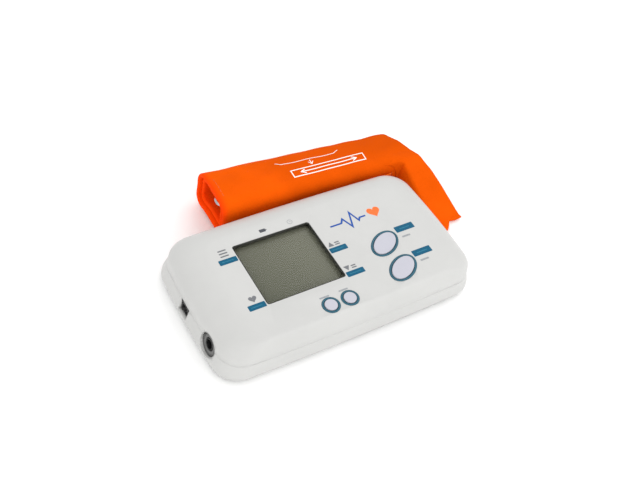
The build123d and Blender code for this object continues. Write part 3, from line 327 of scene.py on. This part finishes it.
black_rubber = rubber("black_rubber", (30, 30, 31))
grey_rubber = rubber("tube_rubber", (120, 122, 120))
bladder_rubber = rubber("bladder_rubber", (196, 120, 74))
nylon = fabric("nylon_fabric", ORANGE, RED_ORANGE)
lining = fabric("lining_fabric", RED_ORANGE, RED_ORANGE, 0.7, 0.2)
loop_pile = fabric("loop_fabric", (236, 98, 18), RED_ORANGE, 0.9, 0.6)
hook_tape = fabric("hook_fabric", (214, 86, 20), RED_ORANGE, 1.1, 0.3)
thread = rubber("thread", (214, 84, 12))
white_ink = print_ink("white_ink", (250, 244, 238), 0.6)
teal_ink = print_ink("teal_ink", (3, 84, 114))
grey_ink = print_ink("grey_ink", (112, 114, 118))
dark_ink = print_ink("dark_ink", (74, 76, 82))
faint_ink = print_ink("faint_ink", (150, 153, 156))
blue_ink = print_ink("blue_ink", (34, 78, 156))
orange_ink = print_ink("orange_ink", (240, 112, 52))
pale_ink = print_ink("pale_ink", (34, 108, 136))

finishes = {
    "upper_housing": housing, "lower_housing": housing, "window_liner": liner,
    "display_lens": lens_clear(), "lcd_panel": display_face(), "lcd_frame": pale_plastic,
    "zebra_strips": black_rubber, "main_board": board_mask, "board_chips": black_plastic,
    "tact_switches": dark_plastic, "board_screws": steel, "pressure_sensor": pale_plastic,
    "buzzer": black_plastic, "start_stop_button": cap, "memory_button": cap,
    "hour_button": cap, "minute_button": cap, "start_button_ring": teal,
    "memory_button_ring": teal, "hour_button_ring": teal, "minute_button_ring": teal,
    "air_socket_ring": grey_plastic, "air_socket_core": black_plastic,
    "power_socket": black_plastic, "power_socket_pin": plated, "aa_cells": cell_sleeve,
    "battery_contacts": plated, "battery_springs": plated, "battery_door": housing,
    "housing_screws": steel, "rubber_feet": foot_rubber, "pump_motor": steel,
    "pump_sleeve": black_rubber, "pump_head": dark_plastic, "air_manifold": pale_plastic,
    "release_valve": dark_plastic, "valve_coil": coil_tape, "pump_tube": grey_rubber,
    "socket_tube": grey_rubber, "valve_tube": grey_rubber, "sensor_tube": grey_rubber,
    "cuff_cover": nylon, "cuff_bladder": bladder_rubber, "cuff_lining": lining,
    "cuff_inner_wrap": nylon, "cuff_loop_strip": loop_pile, "cuff_hook_strip": hook_tape,
    "cuff_tail": nylon, "cuff_tail_fold": nylon, "cuff_d_ring": steel, "cuff_port": dark_plastic,
}
WELD_REACH, SHARP_ANGLE = 0.000002, math.radians(34)
for name, node in nodes.items():
    node.data.materials.clear()
    node.data.materials.append(finishes[name])
    weld = node.modifiers.new("weld", "WELD")
    weld.merge_threshold = WELD_REACH
    node.data.shade_smooth()
    node.data.set_sharp_from_angle(angle=SHARP_ANGLE)
    even = node.modifiers.new("even_shading", "WEIGHTED_NORMAL")
    even.keep_sharp = True


# Helpers for new pieces
def add_object(name, points, faces, material, smooth=True):
    """A mesh object from points in metres."""
    mesh = bpy.data.meshes.new(name)
    mesh.from_pydata([tuple(p) for p in points], [], faces)
    mesh.materials.append(material)
    if smooth:
        mesh.shade_smooth()
    mesh.update()
    made = bpy.data.objects.new(name, mesh)
    scene.collection.objects.link(made)
    return made


def thick_sheet(name, middle, half, material, painted_shade):
    """A closed sheet from a grid of middle points in mm, half thickness and share of redder painted
    shade.
    """
    rows, columns = middle.shape[:2]
    along = np.gradient(middle, axis=0)
    across = np.gradient(middle, axis=1)
    normal = np.cross(along, across)
    normal /= np.linalg.norm(normal, axis=2)[..., None] + 1e-12
    upper = middle + normal * half[..., None]
    lower = middle - normal * half[..., None]
    number = np.arange(rows * columns).reshape(rows, columns)
    other = number.copy()
    inner = np.zeros((rows, columns), bool)
    inner[1:-1, 1:-1] = True
    other[inner] = rows * columns + np.arange(inner.sum())
    points = np.concatenate([upper.reshape(-1, 3), lower[inner]])
    faces = []
    for grid, turned in ((number, False), (other, True)):
        a, b, c, d = grid[:-1, :-1], grid[1:, :-1], grid[1:, 1:], grid[:-1, 1:]
        quads = np.stack([a, b, c, d], axis=-1).reshape(-1, 4)
        faces += [tuple(q[::-1]) if turned else tuple(q) for q in quads.tolist()]
    made = add_object(name, [place(*p) for p in points], faces, material)
    run_steps = np.linalg.norm(np.diff(middle[:, columns // 2], axis=0), axis=1)
    length = np.concatenate([[0], np.cumsum(run_steps)])
    layout = np.stack([middle[..., 0], np.repeat(length[:, None], columns, 1)], axis=-1) * MM
    layout = np.concatenate([layout.reshape(-1, 2), layout[inner]])
    share = np.concatenate([painted_shade.reshape(-1), painted_shade[inner]])
    mesh = made.data
    corner = np.zeros(len(mesh.loops), int)
    mesh.loops.foreach_get("vertex_index", corner)
    flat = mesh.uv_layers.new(name="cloth")
    flat.data.foreach_set("uv", layout[corner].astype(np.float32).ravel())
    # Share of redder painted shade at each point.
    painted_shade_layer = mesh.attributes.new("painted_shade", "FLOAT", "POINT")
    painted_shade_layer.data.foreach_set("value", share.astype(np.float32))
    return made


WAVES, WAVE_LENGTHS, WAVE_SUM = 6, (18, 46), 3.4


def ripple(a, b, seed):
    """Smooth random height between about -1 and 1 over two coordinates in mm."""
    draw = np.random.RandomState(seed)
    total = 0
    for _ in range(WAVES):
        angle = draw.uniform(0, 2 * math.pi)
        length = draw.uniform(*WAVE_LENGTHS)
        phase = draw.uniform(0, 2 * math.pi)
        along = a * math.cos(angle) + b * math.sin(angle)
        total = total + np.sin(2 * math.pi * along / length + phase)
    return total / WAVE_SUM


HEM_STEPS = 5


def hem_steps(count, reach):
    """Positions from 0 to 1 with a rounded edge at both ends, and the thickness share at each."""
    turns = [math.pi / 2 * k / HEM_STEPS for k in range(HEM_STEPS)]
    start = [reach * (1 - math.cos(a)) for a in turns]
    middle = list(np.linspace(reach, 1 - reach, count))
    positions = start + middle + [1 - p for p in reversed(start)]
    shares = [math.sin(a) for a in turns] + [1.0] * count + [math.sin(a) for a in reversed(turns)]
    return np.array(positions), np.array(shares)


# The cuff: a spiral of padded fabric wound round a flattened hollow.
# All in mm, and a pair of values is for the left and for the right end.
LEFT, TAPER = -38.0, 141.0  # where the left end lies, and how far the section tapers
FRONT, DEPTHS, HEIGHTS = 47.4, (37.6, 29.6), (30.2, 22.8)
LOW, NEAR, FARS = 7.0, 8.0, (11.0, 5.0)  # radii: low edges, near top edge, far top edge
CORES = ((65.5, 17.2, 9.0, 4.5), (61.0, 10.6, 4.6, 1.7))  # y, z, half depth and half height
END_X, END_Y, END_SLOPE = 94.2, 66.0, math.tan(math.radians(20.7))  # the right end's slant
TOP_STEP, TOP_STEPS = 26, 26  # where the top begins in the section, and its steps


def arc(centre_y, centre_z, radius, first, last, count):
    """Points of an arc, angles in degrees."""
    angles = np.radians(np.linspace(first, last, count, endpoint=False))
    return [(centre_y + radius * math.cos(a), centre_z + radius * math.sin(a)) for a in angles]


def run(first, last, count, rise=0.0):
    """Points of a straight run, crowned by rise."""
    steps = np.linspace(0, 1, count, endpoint=False)
    return [
        (
            first[0] + (last[0] - first[0]) * s,
            first[1] + (last[1] - first[1]) * s + 4 * rise * s * (1 - s),
        )
        for s in steps
    ]


def outline(side):
    """Outer section of the roll at its left or right end, from the foot of its front, upwards."""
    back, top, far = FRONT + DEPTHS[side], HEIGHTS[side], FARS[side]
    return np.array(
        run((FRONT, LOW), (FRONT, top - NEAR), 14)
        + arc(FRONT + NEAR, top - NEAR, NEAR, 180, 90, 12)
        + run((FRONT + NEAR, top), (back - far, top), TOP_STEPS, 1.0)
        + arc(back - far, top - far, far, 90, 0, 18)
        + run((back, top - far), (back, LOW), 10)
        + arc(back - LOW, LOW, LOW, 0, -90, 12)
        + run((back - LOW, 0), (FRONT + LOW, 0), 24)
        + arc(FRONT + LOW, LOW, LOW, -90, -180, 12)
    )


def core(side, section):
    """Hollow core's points that lie opposite the outer section's."""
    y, z, core_depth, core_height = CORES[side]
    half_depth, half_rise = DEPTHS[side] / 2, HEIGHTS[side] / 2
    rise = (section[:, 1] - half_rise) / half_rise
    angle = np.arctan2(rise, (section[:, 0] - FRONT - half_depth) / half_depth)
    return np.stack([y + core_depth * np.cos(angle), z + core_height * np.sin(angle)], axis=1)


outer = [outline(side) for side in (0, 1)]
inner = [core(side, outer[side]) for side in (0, 1)]
AROUND = len(outer[0])
SOFTNESS, SOFT_SPREAD = 0.35, 30  # height of its gentle waves, and their reach round the section


def roll_point(step, x, inset):
    """Place in the roll's section at one step round it, at inset mm below its outer surface."""
    share = (x - LEFT) / TAPER
    step = step % AROUND
    skin = outer[0][step] + (outer[1][step] - outer[0][step]) * share[..., None]
    heart = inner[0][step] + (inner[1][step] - inner[0][step]) * share[..., None]
    way = heart - skin
    way /= np.linalg.norm(way, axis=-1)[..., None]
    soft = SOFTNESS * ripple(x, np.cos(2 * math.pi * step / AROUND) * SOFT_SPREAD, 3)
    return skin + way * (inset + soft)[..., None]


def end_x(y):
    """Where the slanted right end lies."""
    return END_X + (END_Y - y) * END_SLOPE


TURNS, ROUNDED_STEPS = 2.42, 5.0
PITCH_LEFT, PITCH_RIGHT = 3.1, 2.75  # from one turn to the next
PADDING = 0.46  # half a turn's thickness, as a share of the pitch
SWAY, RECESS, OVERHANG = 0.5, 3.4, 1.7  # of the turns at the left end
END_ROOM = 0.4
END_SHADE_START, END_SHADE_BLEND = 0.5, 3.5  # the redder painted shade on the roll's left end, and its soft inner border
RED_TURN, RED_SHARE = 0.9, 0.8  # after that share of a turn the inner side is redder with painted shade
GUESS_X, GUESS_INSET = 60.0, 2.0  # where the depth of a step is read for the slanted end
steps = np.arange(int(AROUND * TURNS) + 1)
reach, hem = hem_steps(84, 0.012)
ends = np.clip(np.minimum(steps, steps[::-1]) / ROUNDED_STEPS, 0, 1)
ends = np.sqrt(1 - (1 - ends) ** 2)
grid_step = np.repeat(steps[:, None], len(reach), 1)
wander = SWAY * np.sin(steps / AROUND * 2 * math.pi * 0.7 + 0.6)
wander = wander + RECESS * (steps / len(steps)) ** 1.3
guess_x, guess_inset = (np.full(grid_step.shape, value) for value in (GUESS_X, GUESS_INSET))
guess_y = roll_point(grid_step, guess_x, guess_inset)[..., 0]
left_x = LEFT - OVERHANG + wander[:, None]
grid_x = left_x + (end_x(guess_y) - END_ROOM - left_x) * reach[None, :]
pitch = PITCH_LEFT + (PITCH_RIGHT - PITCH_LEFT) * (grid_x - LEFT) / TAPER
section = roll_point(grid_step, grid_x, pitch * (0.5 + grid_step / AROUND))
middle = np.concatenate([grid_x[..., None], section], axis=-1)
half = PADDING * pitch * hem[None, :] * ends[:, None]
# Painted shade: redder over the roll's left end and its inner turns
painted_shade = np.clip(1 - (grid_x - left_x - END_SHADE_START) / END_SHADE_BLEND, 0, 1)
painted_shade = painted_shade + np.clip(grid_step / AROUND - RED_TURN, 0, 1) * RED_SHARE
cuff_roll = thick_sheet("cuff_roll", middle, half, nylon, np.clip(painted_shade, 0, 1))
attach(cuff_roll, "cuff")
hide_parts("cuff_cover", "cuff_bladder", "cuff_lining", "cuff_inner_wrap")


# The loose tail: laid over the right end of the roll, then down to the table
LYING_Z, DRAPE_RISE, DRAPE_START, DRAPE_REACH = 3.0, 20.2, 8.0, 41.0


def roll_top(x, y):
    """Height of the roll's upper surface."""
    share = (x - LEFT) / TAPER
    back = FRONT + DEPTHS[0] + (DEPTHS[1] - DEPTHS[0]) * share
    top = HEIGHTS[0] + (HEIGHTS[1] - HEIGHTS[0]) * share
    far = FARS[0] + (FARS[1] - FARS[0]) * share
    crown = 4 * np.clip((y - FRONT - NEAR) / (back - far - FRONT - NEAR), 0, 1)
    crown = crown * (1 - crown / 4)
    drop_far = far - np.sqrt(np.clip(far**2 - np.clip(y - (back - far), 0, far) ** 2, 0, None))
    return top + crown - drop_far


def drape(y):
    """Height of the tail's upper surface in front of the roll."""
    return LYING_Z + DRAPE_RISE * np.clip((y - DRAPE_START) / DRAPE_REACH, 0, 1)


def smooth_step(value, start, end):
    """Rises smoothly from 0 to 1."""
    share = np.clip((value - start) / (end - start), 0, 1)
    return share * share * (3 - 2 * share)


TAIL_LEFT, TAIL_RIGHT, TAIL_ROOT_Y = 85.2, 106.0, 66.0
TAIL_WIDENS = 17.0  # how far its hidden left edge spreads over the roll
TAIL_SPREAD_Y = (46.4, 52)
TAIL_END = (  # its lower end, as x and y
    (85.0, 4.0), (89.0, 1.2), (96.0, 0.0), (98.6, 2.6), (101.4, 6.3), (106.0, 5.4), (111.0, 5.8),
)
TAIL_EDGE = (  # its right edge, as y and x
    (0.0, 110.0), (5.5, 111.2), (21.0, 107.6), (38.0, 104.8),
    *((y, end_x(y) + 0.3) for y in (47.4, 58.0, 78.0)),
)
TAIL_THICKNESS, TAIL_THINNED = 2.4, 1.6  # in front of the roll, and what it loses on top
TAIL_SETTLE_Y = (50, 62)  # where it settles into the roll's top
TAIL_CORNER_X = (76, 90)  # where it leaves the roll's rounded front edge
TAIL_CREST_Y, TAIL_CREST_SHIFT = (43.5, 50.0), 4.0  # where it bends over that edge
TAIL_SUNK, TAIL_SUNK_TOP, TAIL_SUNK_EDGE = 0.3, 1.3, 0.5  # how deep it lies in the roll
THIN_U, THIN_Y, THINNING = (0.0, 0.55), (45.5, 48.0), 0.8  # its left part thins out on the roll
RUFFLE, RUFFLE_START_Y, RUFFLE_END_Y = 0.7, (4, 20), (44, 58)
TUCK_Z, TUCK_U, TUCK_Y, FLOOR_ROOM = 4.0, (0.0, 0.2), (45.5, 49.0), 0.02
STEEPEST = 0.97  # share of the front edge's radius that it follows down
tail_across, tail_hem = hem_steps(40, 0.05)
tail_along, tail_ends = hem_steps(96, 0.016)
u, v = np.meshgrid(tail_across, tail_along)
tail_x = TAIL_LEFT + (TAIL_RIGHT - TAIL_LEFT) * u
for _ in range(3):  # its place across and its place along depend on each other
    tail_end = np.interp(tail_x, *np.transpose(TAIL_END))
    tail_y = TAIL_ROOT_Y + (tail_end - TAIL_ROOT_Y) * v
    edge = np.interp(tail_y, *np.transpose(TAIL_EDGE))
    tail_left = TAIL_LEFT - TAIL_WIDENS * smooth_step(tail_y, *TAIL_SPREAD_Y)
    tail_x = tail_left + (edge - tail_left) * u
settled = smooth_step(tail_y, *TAIL_SETTLE_Y)
off_corner = smooth_step(tail_x, *TAIL_CORNER_X)
thin = (1 - smooth_step(u, *THIN_U)) * smooth_step(tail_y, *THIN_Y)
thickness = (TAIL_THICKNESS - TAIL_THINNED * settled) * (1 - THINNING * thin)
sunk = TAIL_SUNK + TAIL_SUNK_TOP * settled + TAIL_SUNK_EDGE * thin
short_of_top = np.clip(FRONT + NEAR - tail_y, 0, STEEPEST * NEAR)
rounding = (NEAR - np.sqrt(NEAR**2 - short_of_top**2)) * (1 - off_corner)
over = roll_top(tail_x, np.maximum(tail_y, FRONT + NEAR)) - rounding - thickness / 2 - sunk
hang = drape(tail_y) - thickness / 2
crest = smooth_step(tail_y, TAIL_CREST_Y[0], TAIL_CREST_Y[1] + TAIL_CREST_SHIFT * off_corner)
tail_z = hang + (over - hang) * crest
folds = ripple(tail_x * 1.6, tail_y * 0.7, 11) * RUFFLE * smooth_step(tail_y, *RUFFLE_START_Y)
tail_z = tail_z + folds * (1 - smooth_step(tail_y, *RUFFLE_END_Y))
tucked = (1 - smooth_step(u, *TUCK_U)) * (1 - smooth_step(tail_y, *TUCK_Y))
tail_z = tail_z - (tail_z - TUCK_Z) * tucked
tail_z = np.maximum(tail_z, thickness / 2 + FLOOR_ROOM)
tail_middle = np.stack([tail_x, tail_y, tail_z], axis=-1)
tail_half = thickness / 2 * tail_hem[None, :] * tail_ends[:, None]
cuff_flap = thick_sheet("cuff_flap", tail_middle, tail_half, nylon, np.zeros(tail_x.shape))
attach(cuff_flap, "cuff")
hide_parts("cuff_tail")

# The fold that lies on the table under the tail
FOLD_LEFT, FOLD_BACK, FOLD_REACH = 85.8, 46.6, 27.0
FOLD_Z, FOLD_RUFFLE, FOLD_HALF = 1.55, 0.25, 1.2
FOLD_EDGE = ((19.5, 103.0), (38.0, 103.6), (46.9, 101.6))  # its right edge, as y and x
fold_across, fold_hem = hem_steps(26, 0.07)
fold_along, fold_ends = hem_steps(30, 0.05)
u, v = np.meshgrid(fold_across, fold_along)
fold_y = FOLD_BACK - FOLD_REACH * v
fold_right = np.interp(fold_y, *np.transpose(FOLD_EDGE))
fold_x = FOLD_LEFT + (fold_right - FOLD_LEFT) * u
fold_z = FOLD_Z + FOLD_RUFFLE * ripple(fold_x, fold_y, 5)
fold_middle = np.stack([fold_x, fold_y, fold_z], axis=-1)
fold_half = FOLD_HALF * fold_hem[None, :] * fold_ends[:, None]
cuff_fold = thick_sheet("cuff_fold", fold_middle, fold_half, nylon, np.zeros(fold_x.shape))
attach(cuff_fold, "cuff")
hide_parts("cuff_tail_fold")


# The two halves of the fastener: a looped tape on the roll and a hooked one under the tail
def tape(name, centres, thickness, material, node):
    """A piled tape with a rounded hem from a grid of centre points."""
    rows, columns = centres.shape[:2]
    hems = []
    for k in (np.arange(rows), np.arange(columns)):
        inward = np.clip(np.minimum(k, k[::-1]) / TAPE_HEM_STEPS, 0, 1)
        hems.append(np.sqrt(np.clip(1 - (1 - inward) ** 2, 0, 1)))
    half = thickness / 2 * hems[0][:, None] * hems[1][None, :]
    made = thick_sheet(name, centres, half, material, np.zeros((rows, columns)))
    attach(made, "cuff")
    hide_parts(node)


TAPE_HEM_STEPS, LOOP_THICKNESS, HOOK_THICKNESS, LOOP_WAVE = 1.5, 0.7, 0.9, 0.06
loop_low, loop_high = [(corner - CENTRE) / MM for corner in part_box("cuff_loop_strip")]
loop_x, loop_z = np.meshgrid(
    np.linspace(loop_low.x, loop_high.x, 72),
    np.linspace(loop_low.z, loop_high.z, 10),
    indexing="ij",
)
loop_y = (loop_low.y + loop_high.y) / 2 + LOOP_WAVE * ripple(loop_x * 3, loop_z * 3, 21)
loop_centres = np.stack([loop_x, loop_y, loop_z], axis=-1)
tape("cuff_loop_tape", loop_centres, LOOP_THICKNESS, loop_pile, "cuff_loop_strip")
hook_low, hook_high = [(corner - CENTRE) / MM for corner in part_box("cuff_hook_strip")]
hook_x, hook_share = np.meshgrid(
    np.linspace(hook_low.x, hook_high.x, 16), np.linspace(0.02, 0.98, 34), indexing="ij"
)
hook_y = hook_low.y + (hook_high.y - hook_low.y) * hook_share
hook_z = hook_low.z + (hook_high.z - hook_low.z) * hook_share
hook_centres = np.stack([hook_x, hook_y, hook_z], axis=-1)
tape("cuff_hook_tape", hook_centres, HOOK_THICKNESS, hook_tape, "cuff_hook_strip")


# Printed marks on the roll: a range bar and the mark for the artery
PRINT_SHARE, PRINT_LIFT, PRINT_STEP = 0.03, 0.16, 2.0


def on_roll(x, y):
    """Place just above the roll's outer surface, from a place seen from above."""
    share = (x - LEFT) / TAPER
    far = FRONT + DEPTHS[0] - FARS[0] + (DEPTHS[1] - DEPTHS[0] - FARS[1] + FARS[0]) * share
    step = TOP_STEP + TOP_STEPS * (y - FRONT - NEAR) / (far - FRONT - NEAR)
    first = int(step)
    width = PITCH_LEFT + (PITCH_RIGHT - PITCH_LEFT) * share
    near = []
    for k in (first, first + 1):
        depth = width * (PRINT_SHARE + k / AROUND) - PRINT_LIFT
        near.append(roll_point(np.array(k), np.array(float(x)), np.array(depth)))
    side, height = near[0] + (near[1] - near[0]) * (step - first)
    return place(x, side, height)


def roll_print(name, lines, width, material):
    """Printed strokes on the roll, each a list of places seen from above, cut into short steps."""
    points, faces = [], []
    for line in lines:
        for (xa, ya), (xb, yb) in zip(line, line[1:]):
            length = math.hypot(xb - xa, yb - ya)
            dx, dy = (xb - xa) / length * width / 2, (yb - ya) / length * width / 2
            count = max(1, math.ceil(length / PRINT_STEP))
            for k in range(count + 1):
                share = -width / 2 / length + (1 + width / length) * k / count
                x, y = xa + (xb - xa) * share, ya + (yb - ya) * share
                points += [on_roll(x - dy, y + dx), on_roll(x + dy, y - dx)]
                if k:
                    last = len(points) - 1
                    faces.append((last - 3, last - 2, last, last - 1))
    made = add_object(name, points, faces, material, smooth=False)
    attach(made, "cuff")


# Printed marks on the monitor's cover, and a second layer of ink on the first
INK_HEIGHT, SECOND_INK_HEIGHT = TOP + 0.03, TOP + 0.05


def flat_print(name, shapes, material, height=INK_HEIGHT):
    """Printed shapes, each a closed list of points in mm, on the flat of the cover."""
    points, faces = [], []
    for shape in shapes:
        faces.append(tuple(range(len(points), len(points) + len(shape))))
        points += [place(x, y, height) for x, y in shape]
    made = add_object(name, points, faces, material, smooth=False)
    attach(made, "monitor")


def bar(x0, x1, y0, y1, radius=0.5):
    """Rounded bar."""
    shape = []
    corners = ((x1 - radius, y1 - radius, 0), (x0 + radius, y1 - radius, 90),
               (x0 + radius, y0 + radius, 180), (x1 - radius, y0 + radius, 270))
    for cx, cy, first in corners:
        for k in range(5):
            a = math.radians(first + 22.5 * k)
            shape.append((cx + radius * math.cos(a), cy + radius * math.sin(a)))
    return shape


def triangle(x, y, size, way):
    """Small pointer, way 1 up or -1 down."""
    foot, tip = y - way * size * 0.8, y + way * size * 0.9
    return [(x - size, foot), (x + size, foot), (x, tip)][::way]


HEART_SIDES = 40


def heart(x, y, size):
    """Heart outline."""
    shape = []
    for k in range(HEART_SIDES):
        a = 2 * math.pi * k / HEART_SIDES
        rise = 13 * math.cos(a) - 5 * math.cos(2 * a) - 2 * math.cos(3 * a) - math.cos(4 * a)
        shape.append((x + size * math.sin(a) ** 3, y + size * rise / 16))
    return shape[::-1]


def stroke(points, width):
    """Quads along a line of points, mitred where they meet."""
    line = np.array(points, float)
    ways = np.diff(line, axis=0)
    ways /= np.linalg.norm(ways, axis=1)[:, None]
    before, after = np.vstack([ways[:1], ways]), np.vstack([ways, ways[-1:]])
    sides = np.stack([-before[:, 1] - after[:, 1], before[:, 0] + after[:, 0]], axis=1)
    sides /= np.linalg.norm(sides, axis=1)[:, None]
    lean = np.clip(np.abs(-before[:, 1] * sides[:, 0] + before[:, 0] * sides[:, 1]), 0.35, 1)
    sides *= (width / 2 / lean)[:, None]
    left_side, right_side = line + sides, line - sides
    corners = zip(left_side, right_side, right_side[1:], left_side[1:])
    return [[tuple(corner) for corner in quad] for quad in corners]


flat_print("print_bars", [
    bar(-59.2, -48.4, 10.9, 14.5), bar(-58.5, -48.4, -22.4, -18.8),
    bar(1.6, 12.7, -5.1, -1.5), bar(1.6, 12.9, -23.4, -19.8),
    bar(45.3, 58.0, -6.6, -2.2), bar(44.8, 57.4, -25.9, -21.5),
], teal_ink)
flat_print("print_bar_marks", [
    bar(-57.6, -50.6, 12.4, 13.0, 0.25), bar(-57.0, -50.4, -20.9, -20.3, 0.25),
    bar(3.4, 10.6, -3.6, -3.0, 0.25), bar(3.4, 10.8, -21.9, -21.3, 0.25),
    bar(48.2, 55.2, -4.8, -4.1, 0.3), bar(47.6, 54.6, -24.1, -23.4, 0.3),
], pale_ink, SECOND_INK_HEIGHT)
flat_print("print_signs", [
    *(bar(-56.6, -51.6, y, y + 0.9, 0.3) for y in (20.0, 18.0, 16.0)),
    heart(-53.5, -15.4, 2.3),
    triangle(4.3, 1.0, 1.9, 1),
    *(bar(6.9, 10.0, y, y + 0.8, 0.3) for y in (-0.4, 1.0)),
    triangle(4.3, -17.4, 1.9, -1),
    *(bar(6.9, 10.0, y, y + 0.8, 0.3) for y in (-18.6, -17.2)),
], grey_ink)
flat_print("print_labels", [
    bar(46.4, 52.0, -10.9, -9.7, 0.4), bar(46.4, 52.2, -29.9, -28.7, 0.4),
    bar(-20.8, -14.8, -30.2, -29.2, 0.4), bar(-8.6, -2.8, -30.0, -29.0, 0.4),
], faint_ink)
flat_print("print_battery_icon", [
    bar(-28.4, -24.6, 23.9, 26.1, 0.3), bar(-24.5, -23.9, 24.6, 25.4, 0.15),
], dark_ink)
CLOCK_X, CLOCK_Y, CLOCK_RADIUS, CLOCK_SIDES = -8.9, 25.0, 1.5, 20
dial = [
    (CLOCK_X + CLOCK_RADIUS * math.cos(a), CLOCK_Y + CLOCK_RADIUS * math.sin(a))
    for a in (2 * math.pi * k / CLOCK_SIDES for k in range(CLOCK_SIDES + 1))
]
hands = [(CLOCK_X, CLOCK_Y + 1.0), (CLOCK_X, CLOCK_Y), (CLOCK_X + 0.7, CLOCK_Y - 0.3)]
flat_print("print_clock_icon", stroke(dial, 0.3) + stroke(hands, 0.25), faint_ink)
pulse = [
    (11.0, 12.4), (18.5, 12.4), (20.6, 15.2), (23.6, 7.8),
    (27.0, 18.2), (29.6, 10.6), (31.0, 12.4), (35.0, 12.4),
]
flat_print("print_pulse_line", stroke(pulse, 1.1), blue_ink)
flat_print("print_heart", [heart(41.4, 13.2, 4.2)], orange_ink)

RANGE_LEFT, RANGE_RIGHT, RANGE_FRONT, RANGE_BACK = 12.0, 64.0, 55.9, 61.1
RANGE_MIDDLE = (RANGE_FRONT + RANGE_BACK) / 2
ARROW_INSET, ARROW_LENGTH, ARROW_REACH = 6.0, 2.8, 1.4
frame_corners = [
    (RANGE_LEFT, RANGE_FRONT), (RANGE_RIGHT, RANGE_FRONT),
    (RANGE_RIGHT, RANGE_BACK), (RANGE_LEFT, RANGE_BACK),
]
arrow_ends = (RANGE_LEFT + ARROW_INSET, RANGE_RIGHT - ARROW_INSET)
arrow_heads = [
    [(tip + way * ARROW_LENGTH, RANGE_MIDDLE - ARROW_REACH), (tip, RANGE_MIDDLE),
     (tip + way * ARROW_LENGTH, RANGE_MIDDLE + ARROW_REACH)]
    for tip, way in zip(arrow_ends, (1, -1))
]
roll_print("cuff_range_bar", [
    frame_corners + frame_corners[:1], [(tip, RANGE_MIDDLE) for tip in arrow_ends], *arrow_heads,
], 0.65, white_ink)
roll_print("cuff_artery_mark", [
    [(6.0, 70.6), (9.0, 68.4), (46.0, 67.2), (50.0, 69.2)],
    [(28.0, 66.4), (28.0, 63.2)], [(26.4, 64.8), (28.0, 62.8), (29.6, 64.8)],
], 0.45, white_ink)
STITCH, STITCH_GAP, STITCH_X = 2.0, 1.1, LEFT + 2.6
seam_front, seam_back = FRONT + NEAR + 0.6, FRONT + DEPTHS[0] - FARS[0] - 3.0
stitches = [
    [(STITCH_X, y), (STITCH_X, y + STITCH)]
    for y in np.arange(seam_front, seam_back, STITCH + STITCH_GAP)
]
roll_print("cuff_hem_stitches", stitches, 0.4, thread)

# Floor and light
FLOOR_REACH, FLOOR_DROP = 4, 0.0002
floor_paint, tree, shader = start_material("floor_paint")
drift = mottle(tree, FLOOR_DRIFT, 2)
tone = between(tree, drift, linear((253, 253, 252)), linear((251, 251, 251)), 0.3, 0.7)
tree.links.new(tone, shader.inputs["Base Color"])
shader.inputs["Roughness"].default_value = 0.9
floor_corners = [
    (x * FLOOR_REACH, y * FLOOR_REACH, -FLOOR_DROP) for x, y in ((-1, -1), (1, -1), (1, 1), (-1, 1))
]
floor = add_object("floor", floor_corners, [(0, 1, 2, 3)], floor_paint)

world = bpy.data.worlds.new("studio")
scene.world = world
world.use_nodes = True
tree = world.node_tree
sky = tree.nodes["Background"]
sky.inputs["Color"].default_value = (1, 1, 1, 1)
path = add_node(tree, "ShaderNodeLightPath")
strength = between(tree, path.outputs["Is Camera Ray"], 0.98, 1.0)
tree.links.new(strength, sky.inputs["Strength"])
LAMP_AIM = Vector((0.0, 0.0, 0.01))


def softbox(name, spot, size, power):
    """Square area lamp that faces the object."""
    lamp = bpy.data.lights.new(name, "AREA")
    lamp.size = size
    lamp.energy = power
    made = bpy.data.objects.new(name, lamp)
    scene.collection.objects.link(made)
    made.location = spot
    made.rotation_euler = (LAMP_AIM - Vector(spot)).to_track_quat("-Z", "Y").to_euler()


# Each lamp's place and size in metres, and its power in watts
softbox("key", (0.55, 0.35, 1.05), 1.1, 3.3)
softbox("fill", (-0.9, -0.7, 0.8), 1.4, 3.4)
softbox("front", (0.35, -1.0, 0.6), 1.2, 3.8)

scene.view_settings.view_transform = "Standard"
